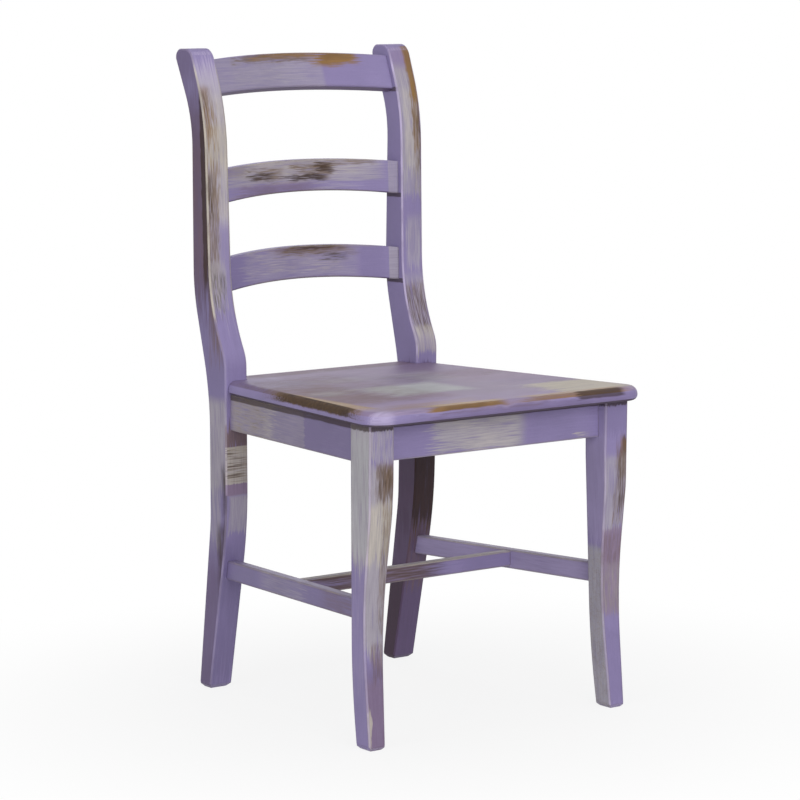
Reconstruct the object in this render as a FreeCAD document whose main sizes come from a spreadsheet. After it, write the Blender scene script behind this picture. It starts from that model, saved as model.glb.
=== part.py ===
import FreeCAD, Part

import math
import os
import re

import Sketcher
from FreeCAD import Vector

# A painted wooden dining chair. X runs across the chair, Y from front to back and Z up;
# the origin is on the floor, in the middle of the chair's plan. All sizes are millimetres.
# "Left" is -X, on the left hand of someone who faces the front of the chair.

SIZES = {
    "Whole chair and fits": {
        "chair_height": 940,
        "seat_height": 464,
        "joint_gap": 0.2,
        "shoulder_gap": 0.1,
        "seat_gap": 0.3,
        "wood_ease": 2,
        "rail_ease": 1.5,
        "overrun": 30,
    },
    "Rear posts, seen from the front": {
        "post_width": 37.7,
        "post_foot_x": 184.3,
        "post_top_x": 191.6,
        "post_foot_ease": 6,
    },
    "Rear posts, front edge seen from the side": {
        "post_foot_y": 231.5,
        "post_knee_y": 170.8,
        "post_knee_z": 251,
        "post_knee_round": 600,
        "post_waist_y": 162.1,
        "post_waist_z": 495,
        "post_waist_round": 52,
        "post_back_y": 198.2,
        "post_back_z": 566,
        "post_back_round": 250,
        "post_flare_z": 846,
        "post_flare_round": 285,
        "post_top_y": 232.7,
        "post_top_round": 22,
    },
    "Rear posts, rear edge seen from the side": {
        "post_heel_y": 260.6,
        "post_calf_y": 216.6,
        "post_calf_z": 253,
        "post_calf_round": 235,
        "post_hip_y": 208.8,
        "post_hip_z": 441,
        "post_hip_round": 380,
        "post_spine_y": 244.7,
        "post_spine_z": 591,
        "post_spine_round": 245,
        "post_neck_y": 235.1,
        "post_neck_z": 839,
        "post_neck_round": 165,
        "post_crown_y": 281.2,
        "post_crown_round": 12,
    },
    "Front legs": {
        "leg_outer_x": 220.6,
        "leg_width": 40.3,
        "leg_taper_z": 365,
        "leg_taper_round": 300,
        "leg_foot_width": 26.3,
        "leg_foot_ease": 4.5,
        "leg_face_y": -250.8,
        "leg_knee_y": -246.3,
        "leg_knee_z": 321,
        "leg_knee_round": 150,
        "leg_ankle_y": -225.7,
        "leg_ankle_z": 174,
        "leg_ankle_round": 700,
        "leg_toe_y": -238,
        "leg_back_y": -203.9,
        "leg_calf_y": -195.8,
        "leg_calf_z": 90,
        "leg_calf_round": 1000,
        "leg_heel_y": -205.3,
    },
    "Seat": {
        "seat_thick": 20,
        "seat_nose": 27.9,
        "seat_side_overhang": 16.1,
        "seat_post_inset": 5,
        "seat_corner_round": 34,
        "seat_rear_round": 3,
        "seat_tongue": 40.7,
        "seat_top_round_share": 0.58,
        "seat_under_round_share": 0.36,
    },
    "Back rails": {
        "rail_thick": 18,
        "rail_bow": 17.4,
        "rail_tenon_thick": 9,
        "rail_tenon_long": 20,
        "rail_tenon_shoulder": 7,
        "rail_tenon_root": 4,
        "top_rail_z": 875,
        "top_rail_high": 52.4,
        "top_rail_rise_under": 12.7,
        "top_rail_rise_over": 13.5,
        "top_rail_recess": 14.1,
        "upper_slat_z": 717.2,
        "upper_slat_high": 48.9,
        "upper_slat_rise_under": 9.4,
        "upper_slat_rise_over": 7.6,
        "upper_slat_recess": 17.5,
        "lower_slat_z": 587.8,
        "lower_slat_high": 49,
        "lower_slat_rise_under": 9.4,
        "lower_slat_rise_over": 8.8,
        "lower_slat_recess": 21.5,
    },
    "Aprons": {
        "apron_high": 52.2,
        "apron_thick": 20,
        "apron_tenon_thick": 9,
        "apron_tenon_shoulder": 7,
        "front_apron_recess": 16.8,
        "front_tenon_long": 19,
        "side_apron_post_inset": 8.7,
        "side_apron_leg_inset": 2.7,
        "side_tenon_long": 15,
        "rear_apron_recess": 17,
        "rear_tenon_long": 20,
        "tenon_root": 6,
    },
    "Stretchers": {
        "stretcher_thick": 16,
        "side_stretcher_z": 169.9,
        "side_stretcher_high": 28,
        "side_stretcher_rise": 7,
        "side_stretcher_post_inset": 9.1,
        "side_stretcher_leg_inset": 4.8,
        "stretcher_tenon_thick": 8,
        "stretcher_tenon_shoulder": 5,
        "stretcher_tenon_long": 16,
        "cross_stretcher_y": -23.4,
        "cross_stretcher_lift": 4.3,
        "cross_stretcher_high": 22.3,
        "cross_tenon_shoulder": 4,
        "cross_tenon_long": 9,
    },
    "Corner blocks and screws": {
        "block_thick": 20,
        "block_high": 38,
        "block_leg_gap": 2,
        "screw_radius": 2,
        "screw_gap": 0.15,
        "screw_head_radius": 4,
        "screw_head_high": 2.6,
        "block_screw_bite": 13,
        "block_screw_seat": 9,
        "seat_screw_bite": 13,
    },
}

SIDE_NAMES = {-1: "left", 1: "right"}
ALONG_X = Vector(1, 0, 0)
ALONG_Y = Vector(0, 1, 0)
ALONG_Z = Vector(0, 0, 1)

# How far a face may lean from an axis and still count as looking along it
WIDEST_LEAN = math.radians(30)
# Which way each of a body's own planes looks along the axis that it is square to
PLANE_SIGNS = {"XY": 1, "XZ": -1, "YZ": 1}

doc = FreeCAD.newDocument("dining_chair")
sheet = doc.addObject("Spreadsheet::Sheet", "Sizes")


def fill_sheet():
    """Write each named size into the sheet, under the heading of its group."""
    row = 0
    for heading, group in SIZES.items():
        row += 1
        sheet.set(f"A{row}", heading)
        for name, number in group.items():
            row += 1
            sheet.set(f"A{row}", name)
            sheet.set(f"B{row}", str(number))
            sheet.setAlias(f"B{row}", name)
    doc.recompute()


NAMES = {name for group in SIZES.values() for name in group}


def rule(text):
    """Turn a sum of named sizes into an expression that reads the sheet."""
    def on_sheet(word):
        return f"Sizes.{word[0]}" if word[0] in NAMES else word[0]
    return re.sub(r"[a-z_]\w*", on_sheet, str(text))


def value(text):
    """The number that a sum of named sizes comes to."""
    found = sheet.evalExpression(rule(text))
    return float(getattr(found, "Value", found))


def bind(feature, prop, text):
    feature.setExpression(prop, rule(text))


def place_at(x, y, z, yaw="0", pitch="0", roll="0"):
    return f"placement(vector({x}, {y}, {z}), rotation({yaw}, {pitch}, {roll}))"


def on_line(at, near, near_at, far, far_at):
    """Where a straight line through two points lies when its other coordinate is `at`."""
    return f"({near} + ({far} - ({near})) * ({at} - ({near_at})) / ({far_at} - ({near_at})))"


# Places that several pieces share

SEAT_UNDER = "(seat_height - seat_thick)"
APRON_UNDER = f"({SEAT_UNDER} - apron_high)"


def post_outer(z):
    return on_line(z, "post_foot_x", "0", "post_top_x", "chair_height")


def post_inner(z):
    return f"({post_outer(z)} - post_width)"


def post_shin(z):
    """Front edge of the post between foot and knee."""
    return on_line(z, "post_foot_y", "0", "post_knee_y", "post_knee_z")


def post_thigh(z):
    """Front edge of the post between knee and seat."""
    return on_line(z, "post_knee_y", "post_knee_z", "post_waist_y", "post_waist_z")


def leg_rear(z):
    """Rear edge of the front leg above its calf."""
    return on_line(z, "leg_calf_y", "leg_calf_z", "leg_back_y", SEAT_UNDER)


class Strip:
    """A straight board that splays outward from the rear post to the front leg, seen from above."""

    def __init__(self, rear_x, rear_y, front_x, front_y, thick):
        self.rear_x, self.rear_y = rear_x, rear_y
        self.front_x, self.front_y = front_x, front_y
        self.slope = f"(({front_x} - {rear_x}) / ({rear_y} - ({front_y})))"
        self.across = f"({thick} * sqrt(1 + {self.slope} ^ 2))"
        self.angle = f"atan({self.slope})"

    def outer(self, y):
        return f"({self.rear_x} + {self.slope} * ({self.rear_y} - ({y})))"

    def inner(self, y):
        return f"({self.outer(y)} - {self.across})"

    def middle(self, y):
        return f"({self.outer(y)} - {self.across} / 2)"

    def yaw(self, side):
        """The turn that brings the Y axis onto the board, on the left (-1) or on the right (1)."""
        return f"({side} * {self.angle})"


SIDE_APRON = Strip(
    f"({post_outer(SEAT_UNDER)} - side_apron_post_inset)",
    post_thigh(SEAT_UNDER),
    "(leg_outer_x - side_apron_leg_inset)",
    "leg_back_y",
    "apron_thick",
)
SIDE_STRETCHER = Strip(
    f"({post_outer('side_stretcher_z')} - side_stretcher_post_inset)",
    post_shin("side_stretcher_z"),
    "(leg_outer_x - side_stretcher_leg_inset)",
    leg_rear("side_stretcher_z"),
    "stretcher_thick",
)
FRONT_APRON_INNER = "(leg_face_y + front_apron_recess + apron_thick)"
REAR_APRON_INNER = f"({post_thigh(SEAT_UNDER)} + rear_apron_recess)"
SEAT_NOTCH = f"({post_thigh('seat_height')} - seat_gap)"


def stretcher_under(y):
    """Underside of the side stretchers, which climb towards the front."""
    rise = f"side_stretcher_rise * ({SIDE_STRETCHER.rear_y} - ({y}))"
    return f"(side_stretcher_z + {rise} / ({SIDE_STRETCHER.rear_y} - {SIDE_STRETCHER.front_y}))"


# Drawing and cutting

def new_body(name):
    body = doc.addObject("PartDesign::Body", name)
    body.Label = name
    return body


def origin_plane(body, view):
    return next(item for item in body.Origin.OriginFeatures if item.Role == f"{view}_Plane")


def new_sketch(body, view, name, at="0"):
    """A sketch on one of the body's own planes, moved to the coordinate `at`."""
    sketch = body.newObject("Sketcher::SketchObject", name)
    sketch.AttachmentSupport = [(origin_plane(body, view), "")]
    sketch.MapMode = "FlatFace"
    bind(sketch, "AttachmentOffset", place_at("0", "0", f"{PLANE_SIGNS[view]} * ({at})"))
    return sketch


def corner(across, up, rounding=None, bow=None):
    """A corner of an outline, rounded or sharp; the side after it may bow to its right."""
    return {"across": across, "up": up, "rounding": rounding, "bow": bow}


def add_arc(sketch, start, end, centre, turns_left):
    """An arc from start to end, with the numbers of its own start and end points."""
    first, last = (start, end) if turns_left else (end, start)
    angle = math.atan2(first.y - centre.y, first.x - centre.x)
    stop = math.atan2(last.y - centre.y, last.x - centre.x)
    if stop < angle:
        stop += 2 * math.pi
    circle = Part.Circle(centre, Vector(0, 0, 1), (start - centre).Length)
    number = sketch.addGeometry(Part.ArcOfCircle(circle, angle, stop))
    return (number, 1, 2) if turns_left else (number, 2, 1)


def fix_point(sketch, number, point, across, up):
    for kind, text in (("DistanceX", across), ("DistanceY", up)):
        index = sketch.addConstraint(Sketcher.Constraint(kind, number, point, value(text)))
        bind(sketch, f"Constraints[{index}]", text)


def fix_radius(sketch, number, text):
    index = sketch.addConstraint(Sketcher.Constraint("Radius", number, value(text)))
    bind(sketch, f"Constraints[{index}]", text)


def draw_side(sketch, start, end, bow):
    if bow is None:
        return sketch.addGeometry(Part.LineSegment(start, end)), 1, 2
    sagitta = value(bow)
    chord = end - start
    radius = (chord.Length ** 2 / 4 + sagitta ** 2) / (2 * sagitta)
    to_left = Vector(-chord.y, chord.x, 0).normalize()
    centre = (start + end) / 2 + to_left * (radius - sagitta)
    return add_arc(sketch, start, end, centre, sagitta > 0)


def outline(sketch, corners):
    """Close a loop of straight or bowed sides, with tangent arcs at the rounded corners."""
    count = len(corners)
    spots = [Vector(value(item["across"]), value(item["up"]), 0) for item in corners]
    arrive, leave = list(spots), list(spots)
    curves = {}
    for i, item in enumerate(corners):
        if item["rounding"] is None:
            continue
        before = (spots[i] - spots[i - 1]).normalize()
        after = (spots[(i + 1) % count] - spots[i]).normalize()
        turn = before.getAngle(after)
        radius = value(item["rounding"])
        arrive[i] = spots[i] - before * radius * math.tan(turn / 2)
        leave[i] = spots[i] + after * radius * math.tan(turn / 2)
        centre = spots[i] + (after - before).normalize() * radius / math.cos(turn / 2)
        curves[i] = (centre, before.cross(after).z > 0)
    sides = []
    for i, item in enumerate(corners):
        sides.append(draw_side(sketch, leave[i], arrive[(i + 1) % count], item["bow"]))
    for i, item in enumerate(corners):
        last, _, last_end = sides[i - 1]
        this, this_start, _ = sides[i]
        if item["rounding"] is None:
            sketch.addConstraint(Sketcher.Constraint("Coincident", last, last_end, this, this_start))
            fix_point(sketch, this, this_start, item["across"], item["up"])
        else:
            arc, arc_start, arc_end = add_arc(sketch, arrive[i], leave[i], *curves[i])
            spot = sketch.addGeometry(Part.Point(spots[i]), True)
            sketch.addConstraint(Sketcher.Constraint("Tangent", last, last_end, arc, arc_start))
            sketch.addConstraint(Sketcher.Constraint("Tangent", arc, arc_end, this, this_start))
            sketch.addConstraint(Sketcher.Constraint("PointOnObject", spot, 1, last))
            sketch.addConstraint(Sketcher.Constraint("PointOnObject", spot, 1, this))
            fix_point(sketch, spot, 1, item["across"], item["up"])
            fix_radius(sketch, arc, item["rounding"])
    for i, item in enumerate(corners):
        if item["bow"] is not None:
            following = corners[(i + 1) % count]
            wide = f"(({following['across']}) - ({item['across']}))"
            high = f"(({following['up']}) - ({item['up']}))"
            bow = f"abs({item['bow']})"
            fix_radius(sketch, sides[i][0], f"(({wide} ^ 2 + {high} ^ 2) / 4 + {bow} ^ 2) / (2 * {bow})")


def rectangle(left, low, right, high):
    return [corner(left, low), corner(right, low), corner(right, high), corner(left, high)]


def pad(body, sketch, length, backwards=False):
    feature = body.newObject("PartDesign::Pad", f"{sketch.Name}_pad")
    feature.Profile = sketch
    feature.Reversed = backwards
    bind(feature, "Length", length)
    doc.recompute()
    return feature


def saw_to(body, view, name, corners, stock):
    """Saw a blank to an outline, cutting away all that lies between it and the stock's edge."""
    before = body.Shape.Volume
    sketch = new_sketch(body, view, name)
    outline(sketch, stock)
    outline(sketch, corners)
    feature = body.newObject("PartDesign::Pocket", f"{name}_cut")
    feature.Profile = sketch
    feature.SideType = "Symmetric"
    feature.Type = "ThroughAll"
    doc.recompute()
    if not body.Shape.Volume < before:
        raise RuntimeError(f"{name} cut nothing")


def looks_along(face, axis):
    """Whether the middle of a face looks along an axis, either way."""
    start_u, end_u, start_v, end_v = face.ParameterRange
    normal = face.normalAt((start_u + end_u) / 2, (start_v + end_v) / 2)
    return abs(normal.dot(axis)) > math.cos(WIDEST_LEAN)


def ease(body, name, size, along, beside=None, wanted=lambda edge: True, rounded=False):
    """Break the edges of the faces that look along one axis, where they meet those of another."""
    shape = body.Shape
    chosen = []
    for number, edge in enumerate(shape.Edges, 1):
        faces = shape.ancestorsOfType(edge, Part.Face)
        one = [looks_along(face, along) for face in faces]
        other = [beside is None or looks_along(face, beside) for face in faces]
        meets = len(faces) == 2 and any(one[i] and not one[1 - i] and other[1 - i] for i in range(2))
        if meets and wanted(edge):
            chosen.append(f"Edge{number}")
    last = body.Tip
    feature = body.newObject("PartDesign::Fillet" if rounded else "PartDesign::Chamfer", name)
    feature.Base = (last, chosen)
    bind(feature, "Radius" if rounded else "Size", size)
    doc.recompute()


def put(body, kind, name, place, **sizes):
    """Add or take away a block or a cylinder at a place in the body's own axes."""
    feature = body.newObject(f"PartDesign::{kind}", name)
    feature.AttachmentSupport = [(origin_plane(body, "XY"), "")]
    feature.MapMode = "FlatFace"
    bind(feature, "AttachmentOffset", place)
    for prop, text in sizes.items():
        bind(feature, prop, text)
    return feature


class Tongue:
    """A tenon and the mortise that takes it, along one axis of a frame that both pieces know."""

    def __init__(self, name, frame, reach, shoulder, length, root, thick, high):
        self.name, self.frame, self.reach = name, frame, reach
        self.shoulder, self.length, self.root = shoulder, length, root
        self.thick, self.high = thick, high

    def box(self, start, stop, grow):
        """Frame, length, width and height of the box between two places along the reach."""
        axis, sign = self.reach
        low = start if sign > 0 else f"-1 * ({stop})"
        long = f"({stop}) - ({start})"
        wide = f"{self.thick} + 2 * {grow}"
        centre = f"-1 * ({wide}) / 2"
        spot = (low, centre) if axis == "X" else (centre, low)
        place = f"{self.frame} * {place_at(spot[0], spot[1], f'-1 * {grow}')}"
        sizes = {"Height": f"{self.high} + 2 * {grow}"}
        sizes["Length"], sizes["Width"] = (long, wide) if axis == "X" else (wide, long)
        return place, sizes

    def add_tenon(self, body):
        place, sizes = self.box(f"{self.shoulder} - {self.root}", f"{self.shoulder} + {self.length}", "0")
        put(body, "AdditiveBox", f"{self.name}_tenon", place, **sizes)

    def cut_mortise(self, body):
        stop = f"{self.shoulder} + {self.length} + joint_gap"
        place, sizes = self.box(f"{self.shoulder} - {self.root}", stop, "joint_gap")
        put(body, "SubtractiveBox", f"{self.name}_mortise", place, **sizes)


# Back rails

class Rail:
    """A bowed rail between the posts, in a frame that leans back with them."""

    def __init__(self, name, face_y, lean):
        self.name = name
        self.low = f"{name}_z"
        self.high = f"{name}_high"
        self.lean = lean
        self.frame = place_at("0", f"{face_y} + {name}_recess", self.low, roll=f"-1 * {lean}")

    def end_x(self, up):
        """Where a post's inner face cuts the rail, at a height along the rail's own face."""
        return f"({post_inner(f'({self.low} + {up} * cos({self.lean}))')} - shoulder_gap)"

    def tongue(self, side, seen_from_post=True):
        """One end's tenon, in the rail's own axes or as its post sees it."""
        frame = place_at("0", "rail_thick / 2", "rail_tenon_shoulder")
        if seen_from_post:
            frame = f"{self.frame} * {frame}"
        high = f"({self.high} - 2 * rail_tenon_shoulder)"
        return Tongue(f"{self.name}_{SIDE_NAMES[side]}", frame, ("X", side), self.end_x(f"{self.high} / 2"),
                      "rail_tenon_long", "rail_tenon_root", "rail_tenon_thick", high)


TOP_LEAN = "atan((post_top_y - post_back_y) / (chair_height - post_flare_z))"
TOP_RAIL_FACE = on_line("top_rail_z", "post_back_y", "post_flare_z", "post_top_y", "chair_height")
RAILS = [
    Rail("top_rail", TOP_RAIL_FACE, TOP_LEAN),
    Rail("upper_slat", "post_back_y", "0"),
    Rail("lower_slat", "post_back_y", "0"),
]


def make_rail(rail):
    """A board bent in plan, sawn to an arched outline and tenoned at both ends."""
    body = new_body(rail.name)
    bind(body, "Placement", rail.frame)
    rise_under, rise_over = f"{rail.name}_rise_under", f"{rail.name}_rise_over"
    blank_end = "post_top_x"
    bow = f"(rail_bow * ({blank_end} / {rail.end_x('0')}) ^ 2)"
    shift = f"({bow} - rail_bow)"
    plan = new_sketch(body, "XY", f"{rail.name}_plan", "-1 * overrun")
    outline(plan, [
        corner(f"-1 * {blank_end}", f"-1 * {shift}", bow=f"-1 * {bow}"),
        corner(blank_end, f"-1 * {shift}"),
        corner(blank_end, f"rail_thick - {shift}", bow=bow),
        corner(f"-1 * {blank_end}", f"rail_thick - {shift}"),
    ])
    pad(body, plan, f"{rail.high} + 2 * overrun + {rise_over}")
    low_x, high_x = rail.end_x("0"), rail.end_x(rail.high)
    saw_to(body, "XZ", f"{rail.name}_front", [
        corner(f"-1 * {low_x}", "0", bow=f"-1 * {rise_under}"),
        corner(low_x, "0"),
        corner(high_x, rail.high, bow=rise_over),
        corner(f"-1 * {high_x}", rail.high),
    ], rectangle(f"-1 * ({blank_end} + overrun)", "-2 * overrun", f"{blank_end} + overrun",
                 f"{rail.high} + 2 * overrun + {rise_over}"))
    ease(body, f"{rail.name}_ease", "rail_ease", ALONG_Y, ALONG_Z)
    for side in (-1, 1):
        rail.tongue(side, seen_from_post=False).add_tenon(body)
    return body


# Aprons and stretchers

def side_apron_tongues(side):
    """The side apron's tenons into the rear post and into the front leg."""
    strip = SIDE_APRON
    high = "(apron_high - 2 * apron_tenon_shoulder)"
    low = f"({APRON_UNDER} + apron_tenon_shoulder)"
    rear = place_at(f"{side} * {strip.middle(strip.rear_y)}", strip.rear_y, low, strip.yaw(side))
    front = place_at(f"{side} * {strip.middle(strip.front_y)}", strip.front_y, low, strip.yaw(side))
    name = f"side_apron_{SIDE_NAMES[side]}"
    sizes = ("side_tenon_long", "tenon_root", "apron_tenon_thick", high)
    return (
        Tongue(f"{name}_rear", rear, ("Y", 1), "0", *sizes),
        Tongue(f"{name}_front", front, ("Y", -1), "0", *sizes),
    )


def side_stretcher_tongues(side):
    """The side stretcher's tenons into the rear post and into the front leg."""
    strip = SIDE_STRETCHER
    high = "(side_stretcher_high - 2 * stretcher_tenon_shoulder)"
    places = []
    for y in (strip.rear_y, strip.front_y):
        low = f"({stretcher_under(y)} + stretcher_tenon_shoulder)"
        places.append(place_at(f"{side} * {strip.middle(y)}", y, low, strip.yaw(side)))
    name = f"side_stretcher_{SIDE_NAMES[side]}"
    sizes = ("stretcher_tenon_long", "tenon_root", "stretcher_tenon_thick", high)
    return (
        Tongue(f"{name}_rear", places[0], ("Y", 1), "0", *sizes),
        Tongue(f"{name}_front", places[1], ("Y", -1), "0", *sizes),
    )


def cross_apron_tongue(name, side, shoulder, middle_y, length):
    """A tenon of the front or rear apron into the leg or post beside it."""
    frame = place_at("0", middle_y, f"({APRON_UNDER} + apron_tenon_shoulder)")
    high = "(apron_high - 2 * apron_tenon_shoulder)"
    return Tongue(f"{name}_{SIDE_NAMES[side]}", frame, ("X", side), shoulder, length, "tenon_root",
                  "apron_tenon_thick", high)


def front_apron_tongue(side):
    middle = f"({FRONT_APRON_INNER} - apron_thick / 2)"
    return cross_apron_tongue("front_apron", side, "(leg_outer_x - leg_width - shoulder_gap)", middle,
                              "front_tenon_long")


def rear_apron_tongue(side):
    middle = f"({REAR_APRON_INNER} + apron_thick / 2)"
    return cross_apron_tongue("rear_apron", side, f"({post_inner(APRON_UNDER)} - shoulder_gap)", middle,
                              "rear_tenon_long")


CROSS_MIDDLE = "(cross_stretcher_y + stretcher_thick / 2)"
CROSS_UNDER = f"({stretcher_under(CROSS_MIDDLE)} + cross_stretcher_lift)"


def cross_stretcher_tongue(side):
    frame = place_at("0", CROSS_MIDDLE, f"({CROSS_UNDER} + cross_tenon_shoulder)")
    high = "(cross_stretcher_high - 2 * cross_tenon_shoulder)"
    name = f"cross_stretcher_{SIDE_NAMES[side]}"
    return Tongue(name, frame, ("X", side), SIDE_STRETCHER.inner(CROSS_MIDDLE), "cross_tenon_long",
                  "tenon_root", "stretcher_tenon_thick", high)


def below_apron_middle(edge):
    return edge.CenterOfMass.z < value(f"({APRON_UNDER} + {SEAT_UNDER}) / 2")


def make_cross_apron(name, inner_face, towards_front, end_low, end_high, tongues):
    """A straight apron between two legs or two posts, its ends cut to lie on them."""
    body = new_body(name)
    sketch = new_sketch(body, "XZ", f"{name}_front", inner_face)
    outline(sketch, [
        corner(f"-1 * {end_low}", APRON_UNDER),
        corner(end_low, APRON_UNDER),
        corner(end_high, SEAT_UNDER),
        corner(f"-1 * {end_high}", SEAT_UNDER),
    ])
    pad(body, sketch, "apron_thick", backwards=not towards_front)
    ease(body, f"{name}_ease", "rail_ease", ALONG_Y, ALONG_Z, below_apron_middle)
    for tongue in tongues:
        tongue.add_tenon(body)
    return body


def make_side_board(name, side, strip, lows, highs, rear_line, front_line):
    """A splayed board whose ends are sawn to lie on the rear post and on the front leg."""
    (low_rear, low_front), (high_rear, high_front) = lows, highs
    body = new_body(name)
    view = new_sketch(body, "YZ", f"{name}_side")
    outline(view, [
        corner(f"{front_line(low_front)} + shoulder_gap", low_front),
        corner(f"{rear_line(low_rear)} - shoulder_gap", low_rear),
        corner(f"{rear_line(high_rear)} - shoulder_gap", high_rear),
        corner(f"{front_line(high_front)} + shoulder_gap", high_front),
    ])
    pad(body, view, "leg_outer_x + overrun", backwards=side < 0)
    rear, front = f"({strip.rear_y} + overrun)", f"({strip.front_y} - overrun)"
    saw_to(body, "XY", f"{name}_plan", [
        corner(f"{side} * {strip.inner(front)}", front),
        corner(f"{side} * {strip.outer(front)}", front),
        corner(f"{side} * {strip.outer(rear)}", rear),
        corner(f"{side} * {strip.inner(rear)}", rear),
    ], rectangle(f"-{side} * overrun", f"{front} - overrun", f"{side} * (leg_outer_x + 2 * overrun)",
                 f"{rear} + overrun"))
    return body


def make_side_apron(side):
    name = f"side_apron_{SIDE_NAMES[side]}"
    tongues = side_apron_tongues(side)
    lows, highs = (APRON_UNDER, APRON_UNDER), (SEAT_UNDER, SEAT_UNDER)
    body = make_side_board(name, side, SIDE_APRON, lows, highs, post_thigh, leg_rear)
    ease(body, f"{name}_ease", "rail_ease", ALONG_X, ALONG_Z, below_apron_middle)
    for tongue in tongues:
        tongue.add_tenon(body)
    return body


def make_side_stretcher(side):
    name = f"side_stretcher_{SIDE_NAMES[side]}"
    tongues = side_stretcher_tongues(side)
    strip = SIDE_STRETCHER
    lows = [stretcher_under(y) for y in (strip.rear_y, strip.front_y)]
    highs = [f"({low} + side_stretcher_high)" for low in lows]
    body = make_side_board(name, side, strip, lows, highs, post_shin, leg_rear)
    ease(body, f"{name}_ease", "rail_ease", ALONG_X, ALONG_Z)
    for tongue in tongues:
        tongue.add_tenon(body)
    cross_stretcher_tongue(side).cut_mortise(body)
    return body


def make_cross_stretcher():
    """The bar between the side stretchers, its shoulders cut to their splay."""
    body = new_body("cross_stretcher")
    plan = new_sketch(body, "XY", "cross_stretcher_plan", CROSS_UNDER)
    front, rear = "cross_stretcher_y", "(cross_stretcher_y + stretcher_thick)"
    front_end = f"({SIDE_STRETCHER.inner(front)} - shoulder_gap)"
    rear_end = f"({SIDE_STRETCHER.inner(rear)} - shoulder_gap)"
    outline(plan, [
        corner(f"-1 * {front_end}", front),
        corner(front_end, front),
        corner(rear_end, rear),
        corner(f"-1 * {rear_end}", rear),
    ])
    pad(body, plan, "cross_stretcher_high")
    ease(body, "cross_stretcher_ease", "rail_ease", ALONG_Y, ALONG_Z)
    for side in (-1, 1):
        cross_stretcher_tongue(side).add_tenon(body)
    return body


# Corner blocks and screws

class Nook:
    """One inner corner of the seat frame, with the block and the screws that stiffen it."""

    def __init__(self, end, side):
        self.side = side
        self.name = f"{end}_{SIDE_NAMES[side]}"
        self.forward = -1 if end == "front" else 1
        if end == "front":
            self.corner_x = "(leg_outer_x - leg_width)"
            self.corner_y = leg_rear(APRON_UNDER)
            self.face_y = FRONT_APRON_INNER
        else:
            self.corner_x = post_inner(SEAT_UNDER)
            self.corner_y = post_thigh(SEAT_UNDER)
            self.face_y = REAR_APRON_INNER
        self.outer_sum = f"({self.corner_x} + {self.forward} * {self.corner_y} - 2 * block_leg_gap)"
        self.inner_sum = f"({self.outer_sum} - sqrt(2) * block_thick)"

    def on_cross_apron(self, total):
        """The x at which a diagonal of the block meets the front or rear apron."""
        return f"({total} - {self.forward} * {self.face_y})"

    def on_side_apron(self, total):
        """The y at which a diagonal of the block meets the side apron."""
        slope = SIDE_APRON.slope
        at_zero = SIDE_APRON.inner("0")
        return f"(({total} - {at_zero}) / ({self.forward} - {slope}))"

    def centre(self):
        half = "(block_leg_gap + block_thick / (2 * sqrt(2)))"
        return f"({self.corner_x} - {half})", f"({self.corner_y} - {self.forward} * {half})"

    def apron_screw(self):
        """Place of the screw into the cross apron, on its inner face with its axis into it."""
        height = f"({SEAT_UNDER} - block_high / 2)"
        x = f"(({self.on_cross_apron(self.outer_sum)} + {self.on_cross_apron(self.inner_sum)}) / 2)"
        return place_at(f"{self.side} * {x}", self.face_y, height, f"{self.forward} * 90", "90")

    def seat_screw(self):
        """Place of the screw up into the seat, on the seat's underside with its axis into it."""
        x, y = self.centre()
        return place_at(f"{self.side} * {x}", y, SEAT_UNDER)


NOOKS = {(end, side): Nook(end, side) for end in ("front", "rear") for side in (-1, 1)}


def screw_steps(place, seat, bite):
    """The shank and the head of a screw whose axis starts at a place, with the head's seat behind it."""
    shank = f"{place} * {place_at('0', '0', f'-1 * {seat}')}"
    head = f"{place} * {place_at('0', '0', f'-1 * ({seat} + screw_head_high)')}"
    return (shank, "screw_radius", f"{seat} + {bite}"), (head, "screw_head_radius", "screw_head_high")


def add_screw(body, name, place, seat, bite):
    for step, (spot, radius, long) in enumerate(screw_steps(place, seat, bite)):
        put(body, "AdditiveCylinder", f"{name}_{step}", spot, Radius=radius, Height=long)


def cut_pilot(body, name, place, bite):
    """The hole that a screw's thread bites in."""
    spot = f"{place} * {place_at('0', '0', '-1 * screw_head_high')}"
    put(body, "SubtractiveCylinder", name, spot, Radius="screw_radius + screw_gap",
        Height=f"screw_head_high + {bite} + screw_gap")


def cut_clearance(body, name, place, seat, sunk):
    """The hole that a screw passes through, with a wider pocket where its head is sunk."""
    behind = f"{place} * {place_at('0', '0', f'-1 * {seat} - overrun')}"
    put(body, "SubtractiveCylinder", f"{name}_hole", behind, Radius="screw_radius + screw_gap",
        Height=f"{seat} + 2 * overrun")
    if sunk:
        put(body, "SubtractiveCylinder", f"{name}_pocket", behind, Radius="screw_head_radius + screw_gap",
            Height="overrun")


def make_block(nook):
    """A diagonal block glued into a corner of the seat frame and screwed to the cross apron."""
    body = new_body(f"corner_block_{nook.name}")
    sketch = new_sketch(body, "XY", f"block_{nook.name}_plan", f"({SEAT_UNDER} - block_high)")
    corners = []
    for total in (nook.outer_sum, nook.inner_sum):
        side_y = nook.on_side_apron(total)
        on_cross = corner(f"{nook.side} * {nook.on_cross_apron(total)}", nook.face_y)
        on_side = corner(f"{nook.side} * {SIDE_APRON.inner(side_y)}", side_y)
        corners.append((on_cross, on_side))
    outline(sketch, [corners[0][0], corners[0][1], corners[1][1], corners[1][0]])
    pad(body, sketch, "block_high")
    cut_clearance(body, f"block_{nook.name}_apron", nook.apron_screw(), "block_screw_seat", sunk=True)
    cut_clearance(body, f"block_{nook.name}_seat", nook.seat_screw(), "block_high", sunk=False)
    return body


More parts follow.
